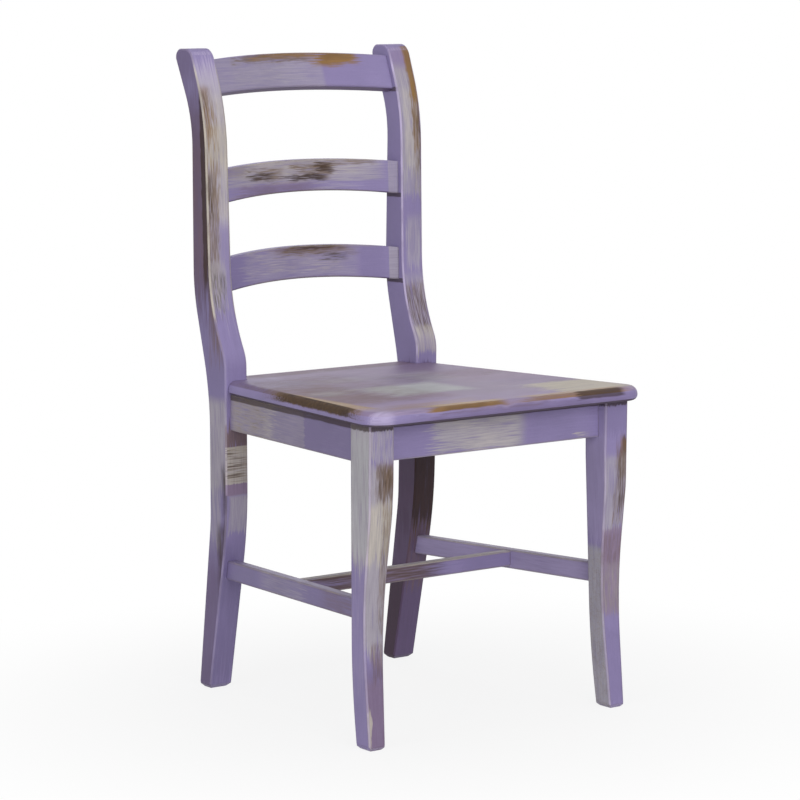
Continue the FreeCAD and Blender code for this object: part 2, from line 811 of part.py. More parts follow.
def make_screws(name, places, seat, bite):
    """All the screws of one kind, as separate solids of one group."""
    body = new_body(name)
    body.AllowCompound = True
    for number, place in enumerate(places):
        add_screw(body, f"{name}_{number}", place, seat, bite)
    return body


def cut_block_pilots(apron, end):
    """The holes in the front or rear apron for the screws of its two blocks."""
    for side in (-1, 1):
        nook = NOOKS[end, side]
        cut_pilot(apron, f"{apron.Name}_{nook.name}_pilot", nook.apron_screw(), "block_screw_bite")


# Posts, legs and seat

def make_rear_post(side):
    """The long post: sawn in its side view from a plank, then tapered and mortised."""
    name = f"rear_post_{SIDE_NAMES[side]}"
    body = new_body(name)
    view = new_sketch(body, "YZ", f"{name}_side")
    heel_line = on_line("post_foot_ease", "post_heel_y", "0", "post_calf_y", "post_calf_z")
    outline(view, [
        corner("post_foot_y + post_foot_ease", "0"),
        corner("post_heel_y - post_foot_ease", "0"),
        corner(heel_line, "post_foot_ease"),
        corner("post_calf_y", "post_calf_z", "post_calf_round"),
        corner("post_hip_y", "post_hip_z", "post_hip_round"),
        corner("post_spine_y", "post_spine_z", "post_spine_round"),
        corner("post_neck_y", "post_neck_z", "post_neck_round"),
        corner("post_crown_y", "chair_height", "post_crown_round"),
        corner("post_top_y", "chair_height", "post_top_round"),
        corner("post_back_y", "post_flare_z", "post_flare_round"),
        corner("post_back_y", "post_back_z", "post_back_round"),
        corner("post_waist_y", "post_waist_z", "post_waist_round"),
        corner("post_knee_y", "post_knee_z", "post_knee_round"),
        corner(post_shin("post_foot_ease"), "post_foot_ease"),
    ])
    pad(body, view, "post_top_x + overrun", backwards=side < 0)
    saw_to(body, "XZ", f"{name}_front", [
        corner(f"{side} * (post_foot_x - post_width + post_foot_ease)", "0"),
        corner(f"{side} * (post_foot_x - post_foot_ease)", "0"),
        corner(f"{side} * {post_outer('post_foot_ease')}", "post_foot_ease"),
        corner(f"{side} * {post_outer('chair_height')}", "chair_height"),
        corner(f"{side} * {post_inner('chair_height')}", "chair_height"),
        corner(f"{side} * {post_inner('post_foot_ease')}", "post_foot_ease"),
    ], rectangle(f"-{side} * overrun", "-1 * overrun", f"{side} * (post_top_x + 2 * overrun)",
                 "chair_height + overrun"))
    ease(body, f"{name}_ease", "wood_ease", ALONG_X)
    for rail in RAILS:
        rail.tongue(side).cut_mortise(body)
    side_apron_tongues(side)[0].cut_mortise(body)
    side_stretcher_tongues(side)[0].cut_mortise(body)
    rear_apron_tongue(side).cut_mortise(body)
    return body


def make_front_leg(side):
    """The front leg: a shaped side view, with the inner face tapered below the apron."""
    name = f"front_leg_{SIDE_NAMES[side]}"
    body = new_body(name)
    view = new_sketch(body, "YZ", f"{name}_side")
    toe_line = on_line("leg_foot_ease", "leg_toe_y", "0", "leg_ankle_y", "leg_ankle_z")
    heel_line = on_line("leg_foot_ease", "leg_heel_y", "0", "leg_calf_y", "leg_calf_z")
    outline(view, [
        corner("leg_toe_y + leg_foot_ease", "0"),
        corner("leg_heel_y - leg_foot_ease", "0"),
        corner(heel_line, "leg_foot_ease"),
        corner("leg_calf_y", "leg_calf_z", "leg_calf_round"),
        corner("leg_back_y", SEAT_UNDER),
        corner("leg_face_y", SEAT_UNDER),
        corner("leg_knee_y", "leg_knee_z", "leg_knee_round"),
        corner("leg_ankle_y", "leg_ankle_z", "leg_ankle_round"),
        corner(toe_line, "leg_foot_ease"),
    ])
    pad(body, view, "leg_outer_x + overrun", backwards=side < 0)
    inner = "(leg_outer_x - leg_width)"
    foot_inner = on_line("leg_foot_ease", "(leg_outer_x - leg_foot_width)", "0", inner, "leg_taper_z")
    saw_to(body, "XZ", f"{name}_front", [
        corner(f"{side} * (leg_outer_x - leg_foot_width + leg_foot_ease)", "0"),
        corner(f"{side} * (leg_outer_x - leg_foot_ease)", "0"),
        corner(f"{side} * leg_outer_x", "leg_foot_ease"),
        corner(f"{side} * leg_outer_x", SEAT_UNDER),
        corner(f"{side} * {inner}", SEAT_UNDER),
        corner(f"{side} * {inner}", "leg_taper_z", "leg_taper_round"),
        corner(f"{side} * {foot_inner}", "leg_foot_ease"),
    ], rectangle(f"-{side} * overrun", "-1 * overrun", f"{side} * (leg_outer_x + 2 * overrun)",
                 f"{SEAT_UNDER} + overrun"))
    top = value(f"{SEAT_UNDER} - leg_foot_ease")
    ease(body, f"{name}_ease", "wood_ease", ALONG_X, wanted=lambda edge: edge.CenterOfMass.z < top)
    front_apron_tongue(side).cut_mortise(body)
    side_apron_tongues(side)[1].cut_mortise(body)
    side_stretcher_tongues(side)[1].cut_mortise(body)
    return body


def make_seat():
    """The seat board, notched round the posts, with a tongue between them."""
    body = new_body("seat")
    sketch = new_sketch(body, "XY", "seat_plan", SEAT_UNDER)
    front = "(leg_face_y - seat_nose)"
    front_x = "(leg_outer_x + seat_side_overhang)"
    rear_x = f"({post_outer(SEAT_UNDER)} - seat_post_inset)"
    tongue_x = f"({post_inner(SEAT_UNDER)} - seat_gap)"
    back = f"({SEAT_NOTCH} + seat_tongue)"
    half = [
        (front_x, front, "seat_corner_round"),
        (rear_x, SEAT_NOTCH, None),
        (tongue_x, SEAT_NOTCH, None),
        (tongue_x, back, "seat_rear_round"),
    ]
    right = [corner(x, y, rounding) for x, y, rounding in half]
    left = [corner(f"-1 * {x}", y, rounding) for x, y, rounding in reversed(half)]
    outline(sketch, right + left)
    pad(body, sketch, "seat_thick")
    top, under = value("seat_height"), value(SEAT_UNDER)
    ease(body, "seat_top_round", "seat_top_round_share * seat_thick", ALONG_Z, rounded=True,
         wanted=lambda edge: edge.CenterOfMass.y < 0 and edge.CenterOfMass.z > (top + under) / 2)
    ease(body, "seat_under_round", "seat_under_round_share * seat_thick", ALONG_Z, rounded=True,
         wanted=lambda edge: edge.CenterOfMass.y < 0 and edge.CenterOfMass.z < (top + under) / 2)
    for nook in NOOKS.values():
        cut_pilot(body, f"seat_{nook.name}_pilot", nook.seat_screw(), "seat_screw_bite")
    return body


def make_chair():
    """Every piece of the chair, each a body of its own."""
    pieces = [make_rail(rail) for rail in RAILS]
    front_end = "(leg_outer_x - leg_width - shoulder_gap)"
    front_apron = make_cross_apron("front_apron", FRONT_APRON_INNER, True, front_end, front_end,
                                   [front_apron_tongue(side) for side in (-1, 1)])
    rear_apron = make_cross_apron("rear_apron", REAR_APRON_INNER, False,
                                  f"({post_inner(APRON_UNDER)} - shoulder_gap)",
                                  f"({post_inner(SEAT_UNDER)} - shoulder_gap)",
                                  [rear_apron_tongue(side) for side in (-1, 1)])
    cut_block_pilots(front_apron, "front")
    cut_block_pilots(rear_apron, "rear")
    pieces += [front_apron, rear_apron, make_seat(), make_cross_stretcher()]
    for side in (-1, 1):
        pieces += [make_side_apron(side), make_rear_post(side), make_front_leg(side)]
        pieces.append(make_side_stretcher(side))
    pieces += [make_block(nook) for nook in NOOKS.values()]
    block_places = [nook.apron_screw() for nook in NOOKS.values()]
    pieces.append(make_screws("corner_block_screws", block_places, "block_screw_seat", "block_screw_bite"))
    seat_places = [nook.seat_screw() for nook in NOOKS.values()]
    pieces.append(make_screws("seat_screws", seat_places, "block_high", "seat_screw_bite"))
    doc.recompute()
    return pieces


def check(pieces):
    """Stop before anything is written if a feature failed or a piece isn't sound."""
    for item in doc.Objects:
        if "Invalid" in item.State or "Error" in item.State:
            raise RuntimeError(f"{item.Label} failed: {item.State}")
    for piece in pieces:
        if piece.Shape.isNull() or not piece.Shape.isValid():
            raise RuntimeError(f"{piece.Label} isn't a sound solid")


def write(pieces):
    os.makedirs("parts", exist_ok=True)
    for piece in pieces:
        piece.Shape.exportStep(f"parts/{piece.Label}.step")
        box = piece.Shape.BoundBox
        print(f"{piece.Label:24s} {len(piece.Shape.Solids):2d} solids {piece.Shape.Volume / 1000:8.1f} cm3  "
              f"{box.XLength:6.1f} x {box.YLength:6.1f} x {box.ZLength:6.1f}")


fill_sheet()
chair = make_chair()
check(chair)
write(chair)
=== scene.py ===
import math
from collections import namedtuple

import bpy
from bpy.props import FloatProperty, FloatVectorProperty, PointerProperty
from bpy.types import NodeSocket, Operator, Panel, PropertyGroup
from mathutils import Matrix, Vector


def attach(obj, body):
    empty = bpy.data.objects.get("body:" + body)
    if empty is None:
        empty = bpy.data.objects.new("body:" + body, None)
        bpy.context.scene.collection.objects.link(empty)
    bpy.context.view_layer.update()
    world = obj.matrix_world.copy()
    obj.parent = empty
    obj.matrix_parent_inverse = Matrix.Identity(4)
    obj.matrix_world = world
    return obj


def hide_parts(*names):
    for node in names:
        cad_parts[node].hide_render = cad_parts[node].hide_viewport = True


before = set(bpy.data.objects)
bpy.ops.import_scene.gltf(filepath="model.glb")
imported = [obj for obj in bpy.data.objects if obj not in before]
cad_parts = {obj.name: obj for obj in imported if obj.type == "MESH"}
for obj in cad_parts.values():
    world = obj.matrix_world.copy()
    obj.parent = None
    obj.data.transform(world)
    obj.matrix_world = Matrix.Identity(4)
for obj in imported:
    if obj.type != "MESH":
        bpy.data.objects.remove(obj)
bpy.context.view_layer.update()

bl_info = {
    "name": "Painted Chair",
    "version": (1, 0, 0),
    "blender": (4, 5, 0),
    "location": "3D View > Sidebar > Chair",
    "description": "Paints a wooden side chair in worn lavender and sets it on a pale floor",
    "category": "Object",
}

MM = 0.001


# Places on the chair

FACES = {
    "any": (0, 0, 0),
    "front": (0, -1, 0),
    "back": (0, 1, 0),
    "left": (-1, 0, 0),
    "right": (1, 0, 0),
    "top": (0, 0, 1),
    "under": (0, 0, -1),
    "left brim": (-0.92, 0, 0.39),
    "front brim": (0, -0.92, 0.39),
}
EVERYWHERE = (-3000, 3000)

# One go of the brush, one worn place, or a painted shade or highlight: its finish, the face that
# it is on, its box in mm, the way of the strokes, how much of it is covered, how soft its sides
# are, how strong it is, the mask that it keeps to, and how far its strokes run past its ends, as a
# share of the paint's ragged ends
Patch = namedtuple("Patch", "finish face x y z strokes cover soft strength where ragged")


def patch(finish, face="any", x=EVERYWHERE, y=EVERYWHERE, z=EVERYWHERE,
          strokes="along", cover=0.8, soft=0.25, strength=1.0, where="all", ragged=1.0):
    return Patch(finish, face, x, y, z, strokes, cover, soft, strength, where, ragged)


def glaze(finish, face="any", x=EVERYWHERE, y=EVERYWHERE, z=EVERYWHERE,
          cover=1.0, soft=0.6, strength=0.8, where="all", ragged=1.0):
    """A place rubbed through or stained, or a painted shade or highlight, with no rim."""
    return Patch(finish, face, x, y, z, "rubbed", cover, soft, strength, where, ragged)


def worn_and_highlit_arrises(light=0.4, brown=0.3, x=EVERYWHERE, z=EVERYWHERE, finish="cream"):
    """The light line along a piece's edges, partly worn paint and partly painted highlight, and
    the brown beside it.
    """
    return [
        glaze("brown", x=x, z=z, cover=1.0, strength=brown, where="beside"),
        patch(finish, x=x, z=z, cover=1.1, strength=light, where="arris"),
    ]


def painted_shade_under_seat(face):
    """Painted shadow close under the seat's overhang."""
    return glaze("burnt", face, z=(436, 460), cover=1.25, soft=0.15, strength=0.8, ragged=0.1)


# Loose grey brushing and rubbed places for the faces that the photograph doesn't show
UNSEEN = [
    patch("lime", cover=0.95, strength=0.8, where="cloud"),
    glaze("brown", cover=0.8, strength=0.6, where="spots"),
]


REAR_POST_LEFT = [
    # side face
    patch("violet", "left", cover=1.3, strength=0.85),
    glaze("plum", "left", z=(880, 990), cover=1.1, strength=0.4),
    glaze("mauve", "left", z=(560, 860), cover=0.95, strength=0.5),
    glaze("plum", "left", z=(540, 880), cover=1.25, strength=0.8),
    glaze("brown", "left", z=(560, 880), cover=0.85, strength=0.35),
    patch("burnt", "left", y=(194, 213), z=(590, 905), cover=1.3, soft=0.3, strength=0.85),
    glaze("brown", "left", y=(165, 206), z=(490, 600), cover=0.95, strength=0.6),
    patch("lime", "left", z=(300, 440), cover=1.15, strength=0.75, ragged=0.6),
    patch("lime", "left", y=(185, 220), z=(215, 320), cover=0.95, strength=0.6),
    glaze("plum", "left", z=(-60, 230), cover=1.15, strength=0.6),
    glaze("burnt", "left", y=(140, 182), z=(235, 340), cover=1.1, strength=0.8),
    glaze("burnt", "left", y=(160, 200), z=(150, 260), cover=1.0, strength=0.8),
    # front face
    patch("bloom", "front", z=(565, 926), cover=1.25, strength=0.7, ragged=0.4),
    patch("lime", "front", z=(565, 918), cover=1.15, soft=0.3, strength=0.7),
    patch("cream", "front", z=(772, 835), cover=1.15, soft=0.5, strength=0.7),
    patch("cream", "front", x=(-190, -150), z=(690, 880), strokes="fine", cover=0.9, strength=0.5),
    patch("ochre", "front", x=(-200, -176), z=(800, 892), strokes="fine", cover=0.95, soft=0.4,
          strength=0.55),
    patch("brown", "front", x=(-198, -168), z=(825, 892), strokes="fine", cover=0.8, soft=0.5,
          strength=0.5),
    patch("burnt", "front", x=(-198, -180), z=(845, 885), strokes="fine", cover=0.75, soft=0.5,
          strength=0.5),
    patch("ochre", "front", x=(-193, -166), z=(700, 870), strokes="fine", cover=0.7, strength=0.5),
    patch("brown", "front", x=(-199, -168), z=(565, 785), strokes="fine", cover=0.95, soft=0.5,
          strength=0.7),
    patch("burnt", "front", x=(-197, -179), z=(690, 765), strokes="fine", cover=0.8, soft=0.5,
          strength=0.7),
    patch("lavender", "front", x=(-172, -140), z=(560, 694), cover=1.15, soft=0.4, strength=0.85),
    patch("lime", "front", x=(-188, -160), z=(562, 640), strokes="fine", cover=0.85, strength=0.7),
    patch("burnt", "front", x=(-186, -162), z=(562, 625), strokes="fine", cover=0.6, strength=0.8),
    glaze("brown", "front", z=(362, 400), cover=1.2, soft=0.3, strength=0.75),
    patch("cream", "front", z=(312, 368), strokes="across", cover=1.25, soft=0.06,
          strength=0.85, ragged=0.3),
    patch("brown", "front", z=(312, 368), strokes="across", cover=0.6, strength=0.7),
    patch("burnt", "front", x=(-184, -150), z=(320, 366), strokes="across", cover=0.55,
          strength=0.7),
    glaze("mauve", "front", z=(296, 313), cover=1.3, soft=0.1, strength=0.9, ragged=0.1),
    patch("lime", "front", x=(-182, -140), z=(238, 297), cover=1.1, soft=0.2, strength=0.7,
          ragged=0.3),
    patch("violet", "front", z=(0, 236), cover=1.0, strength=0.9),
    # painted highlight along the edges
    patch("bloom", cover=1.1, strength=0.3, where="arris"),
] + worn_and_highlit_arrises(0.9, 0.5, z=(540, 925))

REAR_POST_RIGHT = [
    glaze("mauve", "front", z=(880, 945), cover=1.0, strength=0.5),
    patch("lime", "front", x=(150, 190), z=(745, 912), cover=1.15, strength=0.75),
    patch("cream", "front", x=(160, 186), z=(745, 880), strokes="fine", cover=0.9, strength=0.5),
    glaze("ochre", "front", x=(177, 200), z=(855, 955), cover=1.25, strength=0.9),
    patch("ochre", "front", x=(174, 200), z=(770, 890), strokes="fine", cover=0.9, strength=0.7),
    patch("brown", "front", x=(174, 200), z=(712, 860), strokes="fine", cover=0.9, soft=0.5,
          strength=0.65),
    patch("burnt", "front", x=(182, 200), z=(740, 870), strokes="fine", cover=0.75, soft=0.5,
          strength=0.6),
    patch("lime", "front", z=(715, 760), strokes="fine", cover=0.9, strength=0.6),
    patch("lime", "front", x=(158, 190), z=(600, 690), cover=1.0, soft=0.5, strength=0.6),
    patch("lime", "front", z=(500, 600), cover=1.0, strength=0.6),
    patch("brown", "front", z=(510, 590), strokes="fine", cover=0.75, strength=0.7),
    patch("burnt", "front", z=(515, 580), strokes="fine", cover=0.55, strength=0.6),
    patch("cream", "front", z=(478, 522), cover=1.05, soft=0.3, strength=0.6, ragged=0.5),
    patch("violet", "left", z=(470, 960), cover=0.8, strength=0.25),
    # painted shade: the dark line under the end of each rail
    glaze("burnt", "left", z=(870, 877), cover=1.4, soft=0.4, strength=0.75, ragged=0.0),
    glaze("burnt", "left", z=(712, 719), cover=1.4, soft=0.4, strength=0.75, ragged=0.0),
    glaze("burnt", "left", z=(583, 590), cover=1.4, soft=0.4, strength=0.75, ragged=0.0),
    # below the seat: dark coat and bare wood, with painted shade from the seat laid over them
    glaze("plum", "left", z=(-60, 460), cover=1.5, soft=0.05, strength=0.95),
    glaze("burnt", "left", z=(180, 460), cover=1.0, soft=0.4, strength=0.35),
    glaze("burnt", "left", z=(-60, 150), cover=1.3, soft=0.5, strength=0.6),
    glaze("plum", "front", z=(-60, 460), cover=1.3, soft=0.1, strength=0.8),
    glaze("burnt", "front", z=(200, 460), cover=1.15, soft=0.3, strength=0.9),
    glaze("brown", "front", z=(110, 230), cover=0.8, soft=0.3, strength=0.5),
] + worn_and_highlit_arrises(1.0, 0.2, z=(470, 940), finish="bloom")

TOP_RAIL = [
    patch("violet", "front", cover=1.0, strength=0.45),
    patch("lime", "front", x=(-170, 50), z=(868, 950), cover=1.15, soft=0.08, strength=0.4,
          ragged=0.25),
    patch("lime", "front", x=(-120, 30), z=(885, 925), strokes="fine", cover=0.7, strength=0.4),
    patch("brown", "front", x=(-110, 48), z=(915, 945), strokes="fine", cover=0.9, soft=0.5,
          strength=0.8),
    glaze("ochre", "front", x=(-85, 60), z=(921, 945), cover=1.0, soft=0.5, strength=0.8),
    glaze("ochre", "front", x=(36, 112), z=(910, 945), cover=1.25, soft=0.6, strength=0.95),
    glaze("burnt", "front", x=(42, 90), z=(918, 945), cover=0.75, soft=0.6, strength=0.5),
    glaze("ochre", "top", x=(-75, 112), cover=1.0, strength=0.85),
    # painted shade on the underside
    glaze("plum", "under", cover=1.3, strength=0.85),
] + worn_and_highlit_arrises(0.25, 0.2, x=(-125, 160), finish="bloom")

UPPER_SLAT = [
    glaze("brown", "front", x=(-158, 70), z=(738, 782), cover=0.9, strength=0.35),
    patch("lime", "front", x=(-158, 136), z=(738, 782), cover=1.1, soft=0.2, strength=0.65,
          ragged=0.6),
    patch("cream", "front", x=(-120, 110), z=(748, 780), strokes="fine", cover=0.85, soft=0.3,
          strength=0.4),
    patch("lime", "front", x=(-155, 110), z=(716, 746), cover=0.7, soft=0.4, strength=0.5),
    glaze("mauve", "front", x=(-140, 40), z=(714, 745), cover=0.9, strength=0.6),
    glaze("plum", "front", x=(-140, 40), z=(714, 742), cover=0.9, strength=0.5),
    patch("brown", "front", x=(-98, -30), z=(742, 766), strokes="fine", cover=0.8, soft=0.6,
          strength=0.75),
    patch("brown", "front", x=(-25, 52), z=(742, 770), strokes="fine", cover=0.8, soft=0.6,
          strength=0.8),
    patch("burnt", "front", x=(-104, -50), z=(744, 758), strokes="fine", cover=0.9, soft=0.6,
          strength=0.75),
    patch("burnt", "front", x=(-36, 45), z=(742, 752), strokes="fine", cover=1.0, soft=0.6,
          strength=0.85),
    glaze("brown", "front", x=(20, 54), z=(750, 770), cover=1.1, soft=0.5, strength=0.7),
    patch("burnt", "front", x=(22, 54), z=(752, 770), strokes="fine", cover=0.9, soft=0.6,
          strength=0.8),
    patch("brown", "front", x=(50, 122), z=(762, 780), strokes="fine", cover=0.85, soft=0.4,
          strength=0.7),
    glaze("brown", "front", x=(-165, -100), z=(750, 782), cover=0.8, strength=0.4),
    # painted shade on the underside
    glaze("plum", "under", cover=1.3, strength=0.85),
    patch("lime", "front", x=(137, 162), strokes="across", cover=1.15, soft=0.12, strength=0.5,
          ragged=0.2),
] + worn_and_highlit_arrises(0.3, 0.3, x=(-125, 125))

LOWER_SLAT = [
    glaze("violet", "front", cover=1.0, strength=0.4),
    patch("lime", "front", x=(-118, 95), z=(594, 642), cover=1.0, soft=0.15, strength=0.32,
          ragged=0.6),
    patch("cream", "front", x=(-105, 88), z=(604, 642), strokes="fine", cover=0.65, soft=0.3,
          strength=0.4),
    glaze("brown", "front", x=(-58, 84), z=(634, 652), cover=1.0, soft=0.6, strength=0.7),
    patch("brown", "front", x=(-50, 92), z=(628, 650), strokes="fine", cover=0.8, soft=0.6,
          strength=0.8),
    patch("burnt", "front", x=(-28, 72), z=(638, 650), strokes="fine", cover=0.8, soft=0.6,
          strength=0.8),
    patch("burnt", "front", x=(30, 80), z=(620, 634), strokes="fine", cover=0.75, soft=0.6,
          strength=0.8),
    patch("violet", "front", x=(95, 135), cover=0.9, strength=0.4, ragged=0.3),
    # painted shade on the underside
    glaze("plum", "under", cover=1.3, strength=0.85),
    patch("lime", "front", x=(137, 162), strokes="across", cover=1.15, soft=0.12, strength=0.6,
          ragged=0.2),
] + worn_and_highlit_arrises(0.3, 0.3, x=(-125, 125))

SEAT = [
    glaze("mauve", "top", cover=1.1, soft=0.1, strength=0.65),
    glaze("plum", "top", y=(-210, 220), cover=1.0, soft=0.3, strength=0.45),
    glaze("lime", "top", x=(-50, 120), y=(-234, 90), cover=1.0, strength=0.2),
    patch("violet", "top", x=(-10, 110), y=(-40, 60), cover=1.0, soft=0.4, strength=0.4),
    glaze("violet", "top", x=(-230, -100), y=(40, 170), cover=1.1, soft=0.4, strength=0.5),
    glaze("plum", "top", x=(-225, 60), y=(20, 140), cover=0.9, soft=0.6, strength=0.3),
    glaze("mauve", "top", x=(-215, -10), y=(-190, -80), cover=1.1, soft=0.3, strength=0.6),
    glaze("brown", "top", x=(-225, -90), y=(-200, 60), cover=0.95, soft=0.6, strength=0.45),
    glaze("ice", "top", x=(-110, 40), y=(-150, -30), cover=1.15, soft=0.6, strength=0.85),
    glaze("ice", "top", x=(-110, 0), y=(30, 90), cover=0.8, soft=0.8, strength=0.4),
    glaze("ice", "top", x=(-185, -125), y=(-85, -30), cover=1.0, soft=0.8, strength=0.45),
    glaze("ice", "top", x=(30, 110), y=(-50, 90), cover=0.9, soft=0.8, strength=0.45),
    glaze("mauve", "top", x=(60, 240), y=(-90, 60), cover=1.0, soft=0.4, strength=0.5),
    patch("cream", "top", x=(100, 225), y=(-268, -152), cover=1.3, soft=0.4),
    glaze("brown", "top", x=(-180, 180), y=(160, 215), cover=1.0, strength=0.4),
    patch("brown", "top", x=(-225, -20), y=(-200, 150), strokes="fine", cover=0.7, strength=0.5),
    patch("brown", "top", x=(-20, 235), y=(-30, 60), strokes="fine", cover=0.6, strength=0.5),
    glaze("ochre", "top", x=(-215, -20), y=(-272, -215), cover=0.9, strength=0.5, ragged=0.3),
    # painted highlight along the seat's front edge
    glaze("bloom", "front brim", z=(456, 466), cover=0.8, strength=0.4),
    glaze("ochre", x=(-142, -8), y=(-290, -252), z=(458, 470), cover=1.3, soft=0.5,
          strength=0.95, ragged=0.3),
    glaze("burnt", x=(-120, -35), y=(-290, -266), z=(457, 464), cover=0.8, soft=0.5,
          strength=0.6, ragged=0.3),
    glaze("ochre", "top", x=(20, 205), y=(-290, -252), cover=1.15, soft=0.5, strength=0.8,
          ragged=0.3),
    glaze("burnt", x=(112, 190), y=(-290, -264), z=(454, 469), cover=1.6, soft=0.5,
          ragged=0.4),
    glaze("brown", "front brim", x=(-160, 110), z=(451, 463), cover=0.8, strength=0.4),
    glaze("ochre", "top", x=(-250, -194), y=(-236, 20), cover=1.3, soft=0.5, strength=0.95,
          ragged=0.3),
    glaze("brown", "left brim", y=(-228, 30), z=(453, 470), cover=1.3, soft=0.7, strength=0.95,
          ragged=0.3),
    glaze("burnt", "left brim", y=(-222, 5), z=(453, 466), cover=1.4, soft=0.6, strength=0.95,
          ragged=0.4),
    patch("ochre", "left brim", y=(-200, 0), z=(452, 464), strokes="fine", cover=0.65,
          strength=0.35),
    # painted highlight on the seat's front left corner
    glaze("bloom", x=(-245, -195), y=(-290, -258), cover=1.0, strength=0.6),
    glaze("plum", "front brim", x=(-180, 230), z=(444, 457), cover=1.0, strength=0.4),
    # painted shade on the underside at the seat's edge
    glaze("burnt", "under", z=(440, 451), cover=1.4, soft=0.1, strength=0.8),
]

FRONT_APRON = [
    patch("lime", "front", x=(-108, 52), z=(392, 440), cover=1.15, soft=0.25, strength=0.85,
          ragged=0.8),
    patch("cream", "front", x=(-60, 45), cover=0.7, soft=0.2, strength=0.4),
    patch("cream", "front", x=(140, 162), z=(392, 402), cover=0.8, soft=0.3, strength=0.8),
    # painted shadow under the seat
    painted_shade_under_seat("front"),
] + worn_and_highlit_arrises(0.3, 0.2)

SIDE_APRON_LEFT = [
    patch("violet", "left", cover=1.3, soft=0.1, strength=0.9),
    patch("lime", "left", y=(-66, 170), cover=1.1, soft=0.04, strength=0.45, ragged=0.1),
    glaze("plum", "left", cover=1.0, strength=0.15),
    patch("cream", "left", y=(20, 170), strokes="fine", cover=0.8, soft=0.3, strength=0.5),
    patch("brown", "left", y=(60, 170), strokes="fine", cover=0.6, soft=0.3, strength=0.5),
    # painted shadow under the seat
    painted_shade_under_seat("left"),
] + worn_and_highlit_arrises(0.3, 0.2)

FRONT_LEG_LEFT = [
    patch("lime", "left", z=(250, 455), cover=1.3, soft=0.15, strength=0.85),
    patch("ice", "left", z=(262, 440), cover=0.9, soft=0.2, strength=0.6),
    patch("lime", "left", z=(60, 262), cover=0.6, strength=0.3),
    patch("lime", "front", z=(392, 450), strokes="fine", cover=0.85, strength=0.7),
    patch("lime", "front", z=(130, 392), cover=1.3, soft=0.15, strength=0.8),
    patch("brown", "front", x=(-212, -174), z=(334, 396), strokes="fine", cover=1.0, soft=0.4,
          strength=0.75),
    glaze("brown", "front", x=(-200, -176), z=(345, 392), cover=1.0, soft=0.5, strength=0.6),
    patch("burnt", "front", x=(-208, -176), z=(345, 392), strokes="fine", cover=0.6,
          strength=0.7),
    patch("cream", "front", z=(255, 342), cover=1.2, soft=0.25, strength=0.75),
    patch("brown", "front", x=(-200, -174), z=(160, 345), strokes="fine", cover=0.85,
          strength=0.6),
    glaze("lavender", "front", z=(-60, 120), cover=1.3, soft=0.3, strength=0.9),
    patch("brown", "front", x=(-212, -185), z=(86, 150), strokes="fine", cover=0.9, soft=0.4,
          strength=0.6),
    glaze("mauve", "front", z=(-60, 100), cover=1.2, soft=0.3, strength=0.75),
    glaze("plum", "front", z=(-60, 130), cover=0.9, soft=0.3, strength=0.5),
    patch("cream", "front", x=(-228, -215), z=(0, 60), cover=1.1, strength=0.8),
    # painted shadow under the seat
    painted_shade_under_seat("front"),
    painted_shade_under_seat("left"),
] + worn_and_highlit_arrises(0.5, 0.3, finish="bloom")

FRONT_LEG_RIGHT = [
    glaze("bloom", "left", z=(236, 460), cover=1.1, soft=0.1, strength=0.3),
    patch("ice", "left", z=(-60, 236), cover=1.2, soft=0.1, strength=0.55, ragged=0.4),
    patch("lime", "left", z=(-40, 236), strokes="across", cover=0.9, soft=0.1, strength=0.7),
    patch("brown", "left", z=(-40, 236), strokes="across", cover=0.5, soft=0.2, strength=0.45),
    glaze("burnt", "front", x=(211, 226), z=(345, 392), cover=1.2, soft=0.5, strength=0.8),
    patch("ochre", "front", x=(206, 226), z=(325, 395), strokes="fine", cover=1.0, soft=0.4,
          strength=0.6),
    patch("lime", "front", z=(257, 370), cover=1.1, strength=0.65),
    patch("brown", "front", x=(198, 226), z=(262, 392), strokes="fine", cover=0.85, soft=0.4,
          strength=0.65),
    patch("burnt", "front", x=(204, 226), z=(280, 385), strokes="fine", cover=0.65, soft=0.4,
          strength=0.6),
    glaze("mauve", "front", z=(135, 262), cover=1.15, soft=0.1, strength=0.7, ragged=0.4),
    patch("brown", "front", z=(135, 262), strokes="fine", cover=0.8, soft=0.2, strength=0.5),
    patch("lime", "front", z=(135, 215), strokes="fine", cover=0.75, strength=0.5),
    patch("violet", "front", z=(0, 120), cover=0.9, strength=0.5),
    glaze("violet", "front", z=(392, 450), cover=1.0, soft=0.4, strength=0.6),
    # painted shadow under the seat
    painted_shade_under_seat("front"),
    painted_shade_under_seat("left"),
] + worn_and_highlit_arrises(0.45, 0.3, finish="bloom")

SIDE_STRETCHER_LEFT = [
    glaze("violet", "left", cover=1.1, strength=0.9),
    patch("lime", "left", y=(-60, 90), cover=0.9, soft=0.4, strength=0.4),
    glaze("brown", "left", y=(-210, -90), cover=0.8, strength=0.4),
    patch("cream", "top", cover=0.9, strength=0.25),
] + worn_and_highlit_arrises(0.2, 0.3)

SIDE_STRETCHER_RIGHT = [
    glaze("bloom", "left", cover=1.1, strength=0.4),
    patch("cream", "top", cover=1.0, strength=0.3),
] + worn_and_highlit_arrises(0.4, 0.3)

CROSS_STRETCHER = [
    glaze("brown", "front", x=(-190, 60), cover=1.0, strength=0.7),
    patch("burnt", "front", x=(-170, 80), cover=0.8, strength=0.6),
    patch("cream", "top", cover=1.1, strength=0.8),
    patch("violet", "front", x=(80, 200), cover=1.0, strength=0.5),
    patch("cream", "front", x=(124, 136), z=(200, 216), cover=1.1, soft=0.3),
] + worn_and_highlit_arrises(0.3, 0.3)

